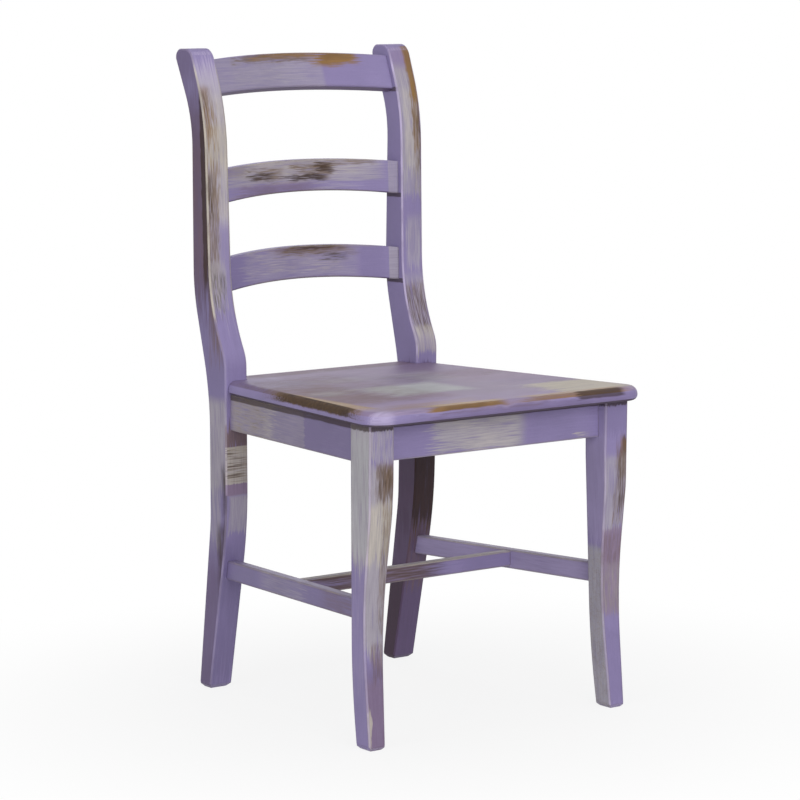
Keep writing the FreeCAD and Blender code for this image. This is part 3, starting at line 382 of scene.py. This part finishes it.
# The grain's way along each piece, and what is painted on it, in order
PAINTED = {
    "rear_post_left": ("z", REAR_POST_LEFT, ("back", "right")),
    "rear_post_right": ("z", REAR_POST_RIGHT, ("back", "right")),
    "top_rail": ("x", TOP_RAIL, ("back",)),
    "upper_slat": ("x", UPPER_SLAT, ("back",)),
    "lower_slat": ("x", LOWER_SLAT, ("back",)),
    "seat": ("x", SEAT, ("right", "back")),
    "front_apron": ("x", FRONT_APRON, ("back",)),
    "rear_apron": ("x", worn_and_highlit_arrises(), ("front", "back")),
    "side_apron_left": ("y", SIDE_APRON_LEFT, ("right",)),
    "side_apron_right": ("y", worn_and_highlit_arrises(), ("left", "right")),
    "front_leg_left": ("z", FRONT_LEG_LEFT, ("back", "right")),
    "front_leg_right": ("z", FRONT_LEG_RIGHT, ("back", "right")),
    "side_stretcher_left": ("y", SIDE_STRETCHER_LEFT, ("right",)),
    "side_stretcher_right": ("y", SIDE_STRETCHER_RIGHT, ("right",)),
    "cross_stretcher": ("x", CROSS_STRETCHER, ("back",)),
}
POSTS = ("rear_post_left", "rear_post_right")
BACK_RAILS = ("top_rail", "upper_slat", "lower_slat")
APRONS = ("front_apron", "rear_apron", "side_apron_left", "side_apron_right")
LEGS = ("front_leg_left", "front_leg_right")
STRETCHERS = ("side_stretcher_left", "side_stretcher_right", "cross_stretcher")
BLOCKS = (
    "corner_block_front_left", "corner_block_front_right",
    "corner_block_rear_left", "corner_block_rear_right",
)
SCREWS = ("corner_block_screws", "seat_screws")


# Colours and sizes that a user may change

def tint(red, green, blue):
    """A screen colour, 0 to 255, as Blender's linear colour."""
    return [((part / 255 + 0.055) / 1.055) ** 2.4 for part in (red, green, blue)]


def colour(name, description, *screen):
    return FloatVectorProperty(
        name=name, description=description, subtype="COLOR", size=3,
        min=0, max=1, default=tint(*screen))


def length(name, description, default):
    return FloatProperty(
        name=name, description=description, subtype="DISTANCE", unit="LENGTH",
        min=0, default=default)


def share(name, description, default, top=1.0):
    return FloatProperty(
        name=name, description=description, subtype="FACTOR", min=0, max=top, default=default)


class ChairPaint(PropertyGroup):
    """Paints, woods and brush marks of the chair."""

    lavender: colour("Lavender", "The coat of paint", 137, 125, 168)
    violet: colour("Violet", "The coat where it is thicker and cleaner", 120, 109, 149)
    # Plum also serves as painted shade under the back rails and on the rear right leg
    plum: colour("Plum", "The coat where it is stained dark", 86, 67, 97)
    mauve: colour("Mauve", "The coat where it has gone brownish", 138, 118, 142)
    # Bloom also serves as painted highlight along edges and on the seat's front edge and corner
    bloom: colour("Bloom", "The coat where it is rubbed pale", 180, 168, 200)
    lime: colour("Lime", "Grey-white paint brushed on almost dry", 167, 161, 166)
    cream: colour("Cream", "Beige-white paint brushed on almost dry", 184, 176, 165)
    ice: colour("Ice", "Bluish white on the seat", 172, 174, 176)
    ochre: colour("Ochre", "Old varnish that shows at worn edges", 126, 92, 38)
    brown: colour("Brown", "Bare wood where the paint is gone", 104, 82, 60)
    # Burnt also serves as painted shade under the seat, under the rail ends and on the rear right
    # leg
    burnt: colour("Burnt", "Bare wood gone nearly black", 50, 34, 25)
    bare: colour("Bare wood", "Unpainted wood of the corner blocks", 176, 138, 96)
    steel: colour("Steel", "The screws", 176, 176, 180)
    stroke_width: length("Stroke width", "Width of one brush mark", 0.002)
    stroke_length: length("Stroke length", "Length of one brush mark", 0.05)
    ragged: length("Ragged ends", "How far the strokes run past the ends of a patch", 0.028)
    # The arris radius also sets the band of painted highlight along the edges
    arris: length("Arris", "Radius over which an edge is rubbed", 0.0035)
    relief: length("Relief", "Height of the brush marks", 0.0005)


class ChairStage(PropertyGroup):
    """Camera, light and floor."""

    lens: FloatProperty(
        name="Lens", description="Focal length on a 36 mm sensor", unit="CAMERA", min=1,
        default=137.5)
    ambient: share("Ambient", "Light from all round", 0.36, 2.0)
    key: share("Key lamp", "Light of the large lamp in front", 0.45, 2.0)
    top: share("Top lamp", "Light of the lamp overhead", 0.26, 2.0)
    side: share("Side lamp", "Light of the lamp on the left", 0.28, 2.0)
    back: share("Back lamp", "Light of the lamp behind, for the views from there", 0.22, 2.0)
    floor: length("Floor", "Width of the floor", 14.0)
    floor_tone: share("Floor tone", "How pale the floor is", 0.7)


# Node trees

def feed(tree, socket, value):
    """Links a socket to another, or writes a plain value in it."""
    if isinstance(value, NodeSocket):
        tree.links.new(value, socket)
    elif value is not None:
        socket.default_value = value


def add(tree, kind, inputs=None, **settings):
    """Adds a node with its settings and inputs."""
    made = tree.nodes.new("ShaderNode" + kind)
    for name, value in settings.items():
        setattr(made, name, value)
    for socket, value in (inputs or {}).items():
        feed(tree, made.inputs[socket], value)
    return made


def calc(tree, operation, *values, clamp=False):
    inputs = dict(enumerate(values))
    return add(tree, "Math", inputs, operation=operation, use_clamp=clamp).outputs[0]


def vector(tree, operation, *values):
    made = add(tree, "VectorMath", dict(enumerate(values)), operation=operation)
    return made.outputs["Value" if operation in ("DOT_PRODUCT", "LENGTH") else "Vector"]


def stretch(tree, value, low, high, smooth=False):
    """Spreads low to high over 0 to 1."""
    kind = "SMOOTHSTEP" if smooth else "LINEAR"
    inputs = {"Value": value, "From Min": low, "From Max": high}
    return add(tree, "MapRange", inputs, interpolation_type=kind, clamp=True).outputs["Result"]


def blend(tree, share_of_top, under, top):
    inputs = {"Factor": share_of_top, 6: under, 7: top}
    return add(tree, "Mix", inputs, data_type="RGBA").outputs[2]


def noise(tree, place, scale, detail=2.0, rough=0.5, coloured=False):
    inputs = {"Vector": place, "Scale": scale, "Detail": detail, "Roughness": rough}
    return add(tree, "TexNoise", inputs).outputs[1 if coloured else 0]


def new_group(name, inputs, outputs):
    """A node group with the named sockets."""
    tree = bpy.data.node_groups.new(name, "ShaderNodeTree")
    for way, sockets in (("INPUT", inputs), ("OUTPUT", outputs)):
        for label, kind in sockets:
            tree.interface.new_socket(label, in_out=way, socket_type="NodeSocket" + kind)
    entry = tree.nodes.new("NodeGroupInput")
    leave = tree.nodes.new("NodeGroupOutput")
    return tree, entry.outputs, leave.inputs


def new_material(name):
    """A material with an empty tree."""
    material = bpy.data.materials.new(name)
    material.use_nodes = True
    material.node_tree.nodes.clear()
    return material, material.node_tree


def show(tree, shader, output="OutputMaterial"):
    """Links a shader to the tree's output."""
    feed(tree, add(tree, output).inputs["Surface"], shader.outputs[0])


# Paint

# How deep the gaps between strokes go, as a share of the cover
GAPS = 0.8
# How far a surface may turn from a patch's face before it loses the patch, and how fast
FACE_HELD = 0.6
FACE_LOST = 6.0


def layer_group():
    """One finish laid over what is under it, inside one patch."""
    tree, given, result = new_group(
        "Brushed layer",
        [("Colour", "Color"), ("Height", "Float"), ("Roughness", "Float"),
         ("Finish", "Color"), ("Finish height", "Float"), ("Finish roughness", "Float"),
         ("Place", "Vector"), ("Stray", "Vector"), ("Ragged", "Vector"),
         ("Normal", "Vector"), ("Strokes", "Float"), ("Mask", "Float"),
         ("Centre", "Vector"), ("Reach", "Vector"), ("Face", "Vector"),
         ("Cover", "Float"), ("Soft", "Float"), ("Edge", "Float"), ("Strength", "Float")],
        [("Colour", "Color"), ("Height", "Float"), ("Roughness", "Float")])
    strayed = vector(tree, "MULTIPLY_ADD", given["Stray"], given["Ragged"], given["Place"])
    from_centre = vector(tree, "SUBTRACT", strayed, given["Centre"])
    away = vector(tree, "ABSOLUTE", vector(tree, "DIVIDE", from_centre, given["Reach"]))
    parts = add(tree, "SeparateXYZ", {0: away}).outputs
    furthest = calc(tree, "MAXIMUM", calc(tree, "MAXIMUM", parts[0], parts[1]), parts[2])
    rim_in = calc(tree, "SUBTRACT", 1.0, given["Soft"])
    rim_out = calc(tree, "ADD", 1.0, given["Soft"])
    outside = stretch(tree, furthest, rim_in, rim_out, smooth=True)
    inside = calc(tree, "SUBTRACT", 1.0, outside)
    toward = vector(tree, "DOT_PRODUCT", given["Normal"], given["Face"])
    limit = vector(tree, "DOT_PRODUCT", given["Face"], given["Face"])
    beyond = calc(tree, "SUBTRACT", toward, calc(tree, "MULTIPLY", limit, FACE_HELD))
    facing = calc(tree, "MULTIPLY_ADD", beyond, FACE_LOST, 1.0, clamp=True)
    here = calc(tree, "MULTIPLY", calc(tree, "MULTIPLY", inside, facing), given["Mask"])
    cover = calc(tree, "MULTIPLY", here, given["Cover"])
    gaps = calc(tree, "MULTIPLY_ADD", given["Strokes"], GAPS, -GAPS)
    level = calc(tree, "ADD", gaps, cover)
    bristles = stretch(tree, level, 0.0, given["Edge"], smooth=True)
    amount = calc(tree, "MULTIPLY", bristles, given["Strength"])
    feed(tree, result["Colour"], blend(tree, amount, given["Colour"], given["Finish"]))
    for part in ("Height", "Roughness"):
        mixed = add(tree, "Mix", {0: amount, 2: given[part], 3: given["Finish " + part.lower()]})
        feed(tree, result[part], mixed.outputs[0])
    return tree


# How a finish stands: height above the wood from 0 to 1, roughness, and how streaky it is
STANDING = {
    "lavender": (0.6, 0.5, 0.1),
    "violet": (0.65, 0.46, 0.1),
    "plum": (0.5, 0.5, 0.25),
    "mauve": (0.55, 0.56, 0.2),
    "bloom": (0.6, 0.5, 0.15),
    "lime": (0.8, 0.66, 0.3),
    "cream": (0.8, 0.66, 0.3),
    "ice": (0.75, 0.6, 0.25),
    "ochre": (0.25, 0.42, 0.4),
    "brown": (0.15, 0.7, 0.5),
    "burnt": (0.05, 0.75, 0.6),
}
STROKE_WAYS = {"x": ("x", "z"), "y": ("y", "z"), "z": ("z", "x")}
# How far the cover rises from bare to full, as a share: dry strokes are crisper
EDGES = {"along": 0.85, "across": 0.7, "fine": 0.7, "rubbed": 0.75}
# How much finer and shorter the fine streaks are
FINE = 0.55
# Narrow marks over broad ones: how many strokes wide and long each is, and its share
MARKS = ((1.0, 1.0, 0.68), (4.0, 1.6, 0.32))
MARK_DETAIL = 2.0
MARK_ROUGH = 0.6
MARK_SPREAD = (0.36, 0.64)
# How squarely a face looks along an axis before strokes lose their depth that way
SQUARE_ON = 0.6

# Noise, in waves over a metre, from clouds of wear down to specks
CLOUDS = 7.0
DRIFT = 11.0
STAINS = 30.0
WAVES = 45.0
SPECKS = 420.0
# Levels of detail where a noise has more than the usual two
ROUGHER = 3.0

# Where each mask begins and where it is full
CHAMFER = (0.85, 0.8)
ARRIS = (0.03, 0.1)
BESIDE = (0.001, 0.02)
CLOUD = (0.46, 0.6)
SPOTS = (0.5, 0.36)
UNSEEN_FACE = 0.5

# Rubbed places and glazes, painted shade and highlight among them: how much of them is stain and
# how much is stroke
STAIN_SHARE = 0.45
STROKE_SHARE = 0.55
# How far the rim of a patch waves to and fro, and the noise where it doesn't
RIM_WAVE = 0.008
NO_WAVE = (0.5, 0.5, 0.5)
# The tone of each finish: its lowest, and what drift and specks add
LOW_TONE = 0.77
DRIFT_TONE = 0.36
SPECK_TONE = 0.1
# What strokes and specks add to the height, and strokes to the roughness
STROKE_HEIGHT = 0.25
SPECK_HEIGHT = 0.12
STROKE_ROUGHNESS = 0.12
BUMP = 0.7
GLOSS = 0.35
BEVEL_SAMPLES = 6


def on_the_face(tree, place, normal):
    """The place without its depth, so that strokes stay whole on a bowed face."""
    sides = add(tree, "SeparateXYZ", {0: vector(tree, "ABSOLUTE", normal)}).outputs
    kept = add(tree, "CombineXYZ", {
        axis: calc(tree, "LESS_THAN", sides[axis], SQUARE_ON) for axis in range(3)}).outputs[0]
    return vector(tree, "MULTIPLY_ADD", place, kept, kept)


def brush_marks(tree, place, way, paint, size=1.0):
    """Long thin marks along one axis, fine ones over broad ones, spread over 0 to 1."""
    both = 0.0
    for width, run, part in reversed(MARKS):
        fine = 1 / (paint.stroke_width * width * size)
        coarse = 1 / (paint.stroke_length * run * size)
        scale = [coarse if axis == way else fine for axis in "xyz"]
        marks = noise(
            tree, vector(tree, "MULTIPLY", place, scale), 1.0, MARK_DETAIL, MARK_ROUGH)
        both = calc(tree, "MULTIPLY_ADD", marks, part, both)
    return stretch(tree, both, *MARK_SPREAD)


def painted_material(name, grain, patches, unseen, paint, layer):
    """A coat of lavender, and the patches over it."""
    material, tree = new_material(name)
    place = add(tree, "TexCoord").outputs["Object"]
    true_normal = add(tree, "NewGeometry").outputs["True Normal"]
    rounded = add(
        tree, "Bevel", {"Radius": paint.arris}, samples=BEVEL_SAMPLES).outputs["Normal"]

    # masks
    bent = calc(tree, "SUBTRACT", 1.0, vector(tree, "DOT_PRODUCT", rounded, true_normal))
    squares = add(tree, "SeparateXYZ", {0: vector(tree, "ABSOLUTE", true_normal)}).outputs
    square = calc(tree, "MAXIMUM", calc(tree, "MAXIMUM", squares[0], squares[1]), squares[2])
    chamfer = stretch(tree, square, *CHAMFER)
    arris = calc(tree, "MAXIMUM", chamfer, stretch(tree, bent, *ARRIS, smooth=True))
    beside = stretch(tree, bent, *BESIDE, smooth=True)
    clouds = noise(tree, place, CLOUDS)
    hidden = 0.0
    for face in unseen:
        toward = vector(tree, "DOT_PRODUCT", true_normal, FACES[face])
        hidden = calc(tree, "MAXIMUM", hidden, calc(tree, "GREATER_THAN", toward, UNSEEN_FACE))
    cloud = stretch(tree, clouds, *CLOUD, smooth=True)
    spots = stretch(tree, clouds, *SPOTS, smooth=True)
    masks = {
        "all": 1.0, "arris": arris, "beside": beside,
        "cloud": calc(tree, "MULTIPLY", cloud, hidden),
        "spots": calc(tree, "MULTIPLY", spots, hidden),
    }
    ways = dict(zip(("along", "across"), STROKE_WAYS[grain]))
    flat = on_the_face(tree, place, true_normal)
    strokes = {kind: brush_marks(tree, flat, way, paint) for kind, way in ways.items()}
    ways["fine"] = grain
    strokes["fine"] = brush_marks(tree, flat, grain, paint, FINE)
    stains = noise(tree, place, STAINS, ROUGHER)
    by_stroke = calc(tree, "MULTIPLY", strokes["along"], STROKE_SHARE)
    strokes["rubbed"] = calc(tree, "MULTIPLY_ADD", stains, STAIN_SHARE, by_stroke)
    waves = vector(tree, "SUBTRACT", noise(tree, place, WAVES, coloured=True), NO_WAVE)
    stray = {}
    for kind, way in ways.items():
        run = calc(tree, "MULTIPLY_ADD", strokes[kind], paint.ragged, -paint.ragged / 2)
        past = add(tree, "CombineXYZ", {"xyz".index(way): run}).outputs[0]
        stray[kind] = vector(tree, "MULTIPLY_ADD", waves, (RIM_WAVE,) * 3, past)
    stray["rubbed"] = stray["along"]

    # the finishes, each with its own variation
    drift = noise(tree, place, DRIFT, ROUGHER)
    specks = noise(tree, place, SPECKS)
    tone = calc(tree, "MULTIPLY_ADD", drift, DRIFT_TONE, LOW_TONE)
    tone = calc(tree, "MULTIPLY_ADD", specks, SPECK_TONE, tone)
    streaks = calc(tree, "SUBTRACT", strokes["along"], 0.5)
    finishes = {}
    for finish, (height, roughness, streaky) in STANDING.items():
        streaked = calc(tree, "MULTIPLY_ADD", streaks, streaky, tone)
        finishes[finish] = vector(tree, "MULTIPLY", streaked, tuple(getattr(paint, finish)))

    height, roughness, _ = STANDING["lavender"]
    colour_now, height_now, roughness_now = finishes["lavender"], height, roughness
    for one in (UNSEEN if unseen else []) + patches:
        box = [(low * MM, high * MM) for low, high in (one.x, one.y, one.z)]
        height, roughness, _ = STANDING[one.finish]
        made = add(tree, "Group", node_tree=layer)
        for socket, value in {
            "Colour": colour_now, "Height": height_now, "Roughness": roughness_now,
            "Finish": finishes[one.finish], "Finish height": height,
            "Finish roughness": roughness, "Place": place, "Normal": true_normal,
            "Stray": stray[one.strokes], "Ragged": (one.ragged,) * 3,
            "Strokes": strokes[one.strokes], "Mask": masks[one.where],
            "Centre": [(low + high) / 2 for low, high in box],
            "Reach": [(high - low) / 2 for low, high in box],
            "Face": FACES[one.face], "Cover": one.cover, "Soft": one.soft,
            "Edge": EDGES[one.strokes], "Strength": one.strength,
        }.items():
            feed(tree, made.inputs[socket], value)
        colour_now, height_now, roughness_now = made.outputs

    ridges = calc(tree, "MULTIPLY_ADD", strokes["along"], STROKE_HEIGHT, height_now)
    ridges = calc(tree, "MULTIPLY_ADD", specks, SPECK_HEIGHT, ridges)
    bump = add(tree, "Bump", {
        "Height": ridges, "Distance": paint.relief, "Strength": BUMP, "Normal": rounded})
    dull = calc(tree, "MULTIPLY_ADD", strokes["along"], STROKE_ROUGHNESS, roughness_now)
    show(tree, add(tree, "BsdfPrincipled", {
        "Base Color": colour_now, "Roughness": dull, "Normal": bump.outputs[0],
        "Specular IOR Level": GLOSS}))
    return material


# Bare wood and steel

# Rings and pores of the wood, in waves over a metre along x, y and z
RINGS = (9.0, 60.0, 60.0)
PORES = (60.0, 900.0, 900.0)
# The wood's tone: its lowest, and what rings and pores add
LOW_WOOD_TONE = 0.35
RING_TONE = 0.9
PORE_TONE = 0.3
# The noise at which a surface would be fully smooth and fully dull
PORE_DULL = (-0.5, 1.2)
STEEL_DULL = (-0.4, 1.6)
# Marks on the steel
STEEL_SPOTS = 700.0
LOW_STEEL_TONE = 0.7
STEEL_SPOT_TONE = 0.5
STEEL_SPOT_HIGH = 0.0001
SOFT_BUMP = 0.4


def wood_material(name, paint):
    """Bare wood: growth rings and pores."""
    material, tree = new_material(name)
    place = add(tree, "TexCoord").outputs["Object"]
    rings = noise(tree, vector(tree, "MULTIPLY", place, RINGS), 1.0, ROUGHER)
    pores = noise(tree, vector(tree, "MULTIPLY", place, PORES), 1.0)
    tone = calc(tree, "MULTIPLY_ADD", rings, RING_TONE, LOW_WOOD_TONE)
    tone = calc(tree, "MULTIPLY_ADD", pores, PORE_TONE, tone)
    bump = add(tree, "Bump", {
        "Height": pores, "Distance": paint.relief, "Strength": SOFT_BUMP})
    show(tree, add(tree, "BsdfPrincipled", {
        "Base Color": vector(tree, "MULTIPLY", tone, tuple(paint.bare)),
        "Roughness": stretch(tree, pores, *PORE_DULL), "Normal": bump.outputs[0]}))
    return material


def steel_material(name, paint):
    """Zinc-grey steel with dull spots."""
    material, tree = new_material(name)
    spots = noise(tree, add(tree, "TexCoord").outputs["Object"], STEEL_SPOTS, ROUGHER)
    tone = calc(tree, "MULTIPLY_ADD", spots, STEEL_SPOT_TONE, LOW_STEEL_TONE)
    bump = add(tree, "Bump", {
        "Height": spots, "Distance": STEEL_SPOT_HIGH, "Strength": SOFT_BUMP})
    show(tree, add(tree, "BsdfPrincipled", {
        "Base Color": vector(tree, "MULTIPLY", tone, tuple(paint.steel)), "Metallic": 1.0,
        "Roughness": stretch(tree, spots, *STEEL_DULL), "Normal": bump.outputs[0]}))
    return material


def dress(piece, material):
    """Gives a piece its finish."""
    materials = piece.data.materials
    if not materials:
        materials.append(material)
    for place in range(len(materials)):
        materials[place] = material


# Pieces

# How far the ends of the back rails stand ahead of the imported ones, and where the ends
# are from the middle, in mm
RAIL_ENDS_AHEAD = {"top_rail": 5.5, "upper_slat": 9.0, "lower_slat": 12.8}
RAIL_HALF = 154.5


def bowed_rail(node, ahead):
    """A back rail with a deeper bow: its middle stays and its ends come forward."""
    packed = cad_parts[node]
    piece = packed.copy()
    piece.name = node + "_bowed"
    mesh = piece.data = packed.data.copy()
    mesh.name = piece.name
    bpy.context.scene.collection.objects.link(piece)
    bend = ahead * MM / (RAIL_HALF * MM) ** 2
    places = [corner.co.copy() for corner in mesh.vertices]
    turned = []
    for corner, normal in zip(mesh.loops, mesh.corner_normals):
        slope = 2 * bend * places[corner.vertex_index].x
        across, forward, up = normal.vector
        turned.append(Vector((across + slope * forward, forward, up)).normalized())
    for corner, place in zip(mesh.vertices, places):
        corner.co.y = place.y - bend * place.x ** 2
    mesh.normals_split_custom_set(turned)
    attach(piece, "root")
    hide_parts(node)
    return piece


class PaintOperator:
    """What the painting operators share."""

    bl_options = {"REGISTER", "UNDO"}
    nodes = ()

    def execute(self, context):
        paint = context.scene.chair_paint
        layer = bpy.data.node_groups.get("Brushed layer") or layer_group()
        for node in self.nodes:
            grain, patches, unseen = PAINTED[node]
            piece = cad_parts[node]
            if node in RAIL_ENDS_AHEAD:
                piece = bowed_rail(node, RAIL_ENDS_AHEAD[node])
            dress(piece, painted_material(node + "_paint", grain, patches, unseen, paint, layer))
        return {"FINISHED"}


class CHAIR_OT_paint_posts(PaintOperator, Operator):
    """Paint the two rear posts"""

    bl_idname = "chair.paint_posts"
    bl_label = "Paint Rear Posts"
    nodes = POSTS


class CHAIR_OT_paint_back_rails(PaintOperator, Operator):
    """Paint the top rail and the two slats"""

    bl_idname = "chair.paint_back_rails"
    bl_label = "Paint Back Rails"
    nodes = BACK_RAILS


class CHAIR_OT_paint_seat(PaintOperator, Operator):
    """Paint the seat"""

    bl_idname = "chair.paint_seat"
    bl_label = "Paint Seat"
    nodes = ("seat",)


class CHAIR_OT_paint_aprons(PaintOperator, Operator):
    """Paint the four aprons"""

    bl_idname = "chair.paint_aprons"
    bl_label = "Paint Aprons"
    nodes = APRONS


class CHAIR_OT_paint_legs(PaintOperator, Operator):
    """Paint the two front legs"""

    bl_idname = "chair.paint_legs"
    bl_label = "Paint Front Legs"
    nodes = LEGS


class CHAIR_OT_paint_stretchers(PaintOperator, Operator):
    """Paint the H stretcher"""

    bl_idname = "chair.paint_stretchers"
    bl_label = "Paint Stretchers"
    nodes = STRETCHERS


class CHAIR_OT_finish_blocks(Operator):
    """Leave the corner blocks in bare wood"""

    bl_idname = "chair.finish_blocks"
    bl_label = "Finish Corner Blocks"
    bl_options = {"REGISTER", "UNDO"}

    def execute(self, context):
        wood = wood_material("bare_wood_grain", context.scene.chair_paint)
        for node in BLOCKS:
            dress(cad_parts[node], wood)
        return {"FINISHED"}


class CHAIR_OT_finish_screws(Operator):
    """Give the screws their steel"""

    bl_idname = "chair.finish_screws"
    bl_label = "Finish Screws"
    bl_options = {"REGISTER", "UNDO"}

    def execute(self, context):
        steel = steel_material("dull_steel", context.scene.chair_paint)
        for node in SCREWS:
            dress(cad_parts[node], steel)
        return {"FINISHED"}


# Stage

# Where the photograph was taken from, in metres, and how the camera is turned, in degrees
CAMERA_PLACE = (-2.4858, -3.5570, 0.9866)
CAMERA_TURN = 34.995
CAMERA_DIP = 7.220
CAMERA_ROLL = 0.863
CLIP_NEAR = 0.1
CLIP_FAR = 100
# Each lamp's light, one of the stage's values, and its place in metres
LAMP_SIZE = 2.6
LAMPS = {
    "key_lamp": ("key", (-0.9, -4.3, 1.5)),
    "top_lamp": ("top", (0.2, -0.9, 3.6)),
    "side_lamp": ("side", (-4.0, -1.0, 1.4)),
    "back_lamp": ("back", (1.9, 3.7, 0.9)),
}
LAMP_AIM = Vector((0.0, 0.0, 0.45))
WHITE = (1, 1, 1, 1)
# How white the floor is seen under the chair, what it gains away from it, and from where
# to where, in metres from the middle
WHITE_UNDER = 0.86
WHITE_GAINED = 0.14
FLOOR_FADE = (0.25, 0.9)


def make_camera(context, stage):
    """The camera at the photograph's viewing angle."""
    turn, dip, roll = (math.radians(part) for part in (CAMERA_TURN, CAMERA_DIP, CAMERA_ROLL))
    data = bpy.data.cameras.new("camera")
    data.lens = stage.lens
    data.clip_start, data.clip_end = CLIP_NEAR, CLIP_FAR
    camera = bpy.data.objects.new("camera", data)
    upright = Matrix.Rotation(-turn, 4, "Z") @ Matrix.Rotation(math.radians(90) - dip, 4, "X")
    camera.matrix_world = (
        Matrix.Translation(CAMERA_PLACE) @ upright @ Matrix.Rotation(-roll, 4, "Z"))
    context.scene.collection.objects.link(camera)
    context.scene.camera = camera


def make_lamps(context, stage):
    """Square lamps whose strength is the light that a facing white card sends back."""
    for name, (strength, place) in LAMPS.items():
        data = bpy.data.lights.new(name, "AREA")
        data.size = LAMP_SIZE
        away = Vector(place) - LAMP_AIM
        data.energy = getattr(stage, strength) * math.pi ** 2 * away.length_squared
        lamp = bpy.data.objects.new(name, data)
        lamp.location = place
        lamp.rotation_euler = away.to_track_quat("Z", "Y").to_euler()
        context.scene.collection.objects.link(lamp)


def seen_straight(tree):
    """1 for the rays that show the background itself."""
    ray = add(tree, "LightPath").outputs
    seen = calc(tree, "MAXIMUM", ray["Is Camera Ray"], ray["Is Glossy Ray"])
    return calc(tree, "MAXIMUM", seen, ray["Is Transmission Ray"])


def make_world(context, stage):
    """Soft light from all round, which is itself seen as white."""
    world = bpy.data.worlds.new("studio")
    context.scene.world = world
    world.use_nodes = True
    tree = world.node_tree
    tree.nodes.clear()
    light = add(tree, "Background", {"Color": WHITE, "Strength": stage.ambient})
    white = add(tree, "Background", {"Color": WHITE, "Strength": 1.0})
    show(tree, add(tree, "MixShader", {
        0: seen_straight(tree), 1: light.outputs[0], 2: white.outputs[0]}), "OutputWorld")


def make_floor(context, stage):
    """A pale floor that keeps the chair's shadow and fades to white away from it."""
    half = stage.floor / 2
    mesh = bpy.data.meshes.new("floor")
    corners = [(-half, -half, 0), (half, -half, 0), (half, half, 0), (-half, half, 0)]
    mesh.from_pydata(corners, [], [(0, 1, 2, 3)])
    floor = bpy.data.objects.new("floor", mesh)
    context.scene.collection.objects.link(floor)
    material, tree = new_material("pale_floor")
    tone = stage.floor_tone
    matt = add(tree, "BsdfDiffuse", {"Color": (tone, tone, tone, 1)})
    white = add(tree, "Emission", {"Color": WHITE, "Strength": 1.0})
    distance = vector(tree, "LENGTH", add(tree, "TexCoord").outputs["Object"])
    fade = stretch(tree, distance, *FLOOR_FADE, smooth=True)
    share_of_white = calc(tree, "MULTIPLY_ADD", fade, WHITE_GAINED, WHITE_UNDER)
    share_of_white = calc(tree, "MULTIPLY", share_of_white, seen_straight(tree))
    show(tree, add(tree, "MixShader", {
        0: share_of_white, 1: matt.outputs[0], 2: white.outputs[0]}))
    mesh.materials.append(material)


class CHAIR_OT_make_stage(Operator):
    """Make the floor, the lamps and the camera"""

    bl_idname = "chair.make_stage"
    bl_label = "Make Stage"
    bl_options = {"REGISTER", "UNDO"}

    def execute(self, context):
        stage = context.scene.chair_stage
        context.scene.view_settings.view_transform = "Standard"
        make_floor(context, stage)
        make_lamps(context, stage)
        make_world(context, stage)
        make_camera(context, stage)
        return {"FINISHED"}


OPERATORS = (
    CHAIR_OT_paint_posts,
    CHAIR_OT_paint_back_rails,
    CHAIR_OT_paint_seat,
    CHAIR_OT_paint_aprons,
    CHAIR_OT_paint_legs,
    CHAIR_OT_paint_stretchers,
    CHAIR_OT_finish_blocks,
    CHAIR_OT_finish_screws,
    CHAIR_OT_make_stage,
)


class CHAIR_PT_sidebar(Panel):
    """The chair's operators, colours and sizes"""

    bl_idname = "CHAIR_PT_sidebar"
    bl_label = "Painted Chair"
    bl_space_type = "VIEW_3D"
    bl_region_type = "UI"
    bl_category = "Chair"

    def draw(self, context):
        for operator in OPERATORS:
            self.layout.operator(operator.bl_idname)
        for group in (context.scene.chair_paint, context.scene.chair_stage):
            column = self.layout.column()
            for name in type(group).__annotations__:
                column.prop(group, name)


CLASSES = (ChairPaint, ChairStage, *OPERATORS, CHAIR_PT_sidebar)


def register():
    """Adds the values, the operators and the panel to Blender."""
    for made in CLASSES:
        bpy.utils.register_class(made)
    bpy.types.Scene.chair_paint = PointerProperty(type=ChairPaint)
    bpy.types.Scene.chair_stage = PointerProperty(type=ChairStage)


def unregister():
    del bpy.types.Scene.chair_stage
    del bpy.types.Scene.chair_paint
    for made in reversed(CLASSES):
        bpy.utils.unregister_class(made)


def main():
    """Makes the whole scene."""
    register()
    for operator in OPERATORS:
        group, name = operator.bl_idname.split(".")
        getattr(getattr(bpy.ops, group), name)()


if __name__ == "__main__":
    main()
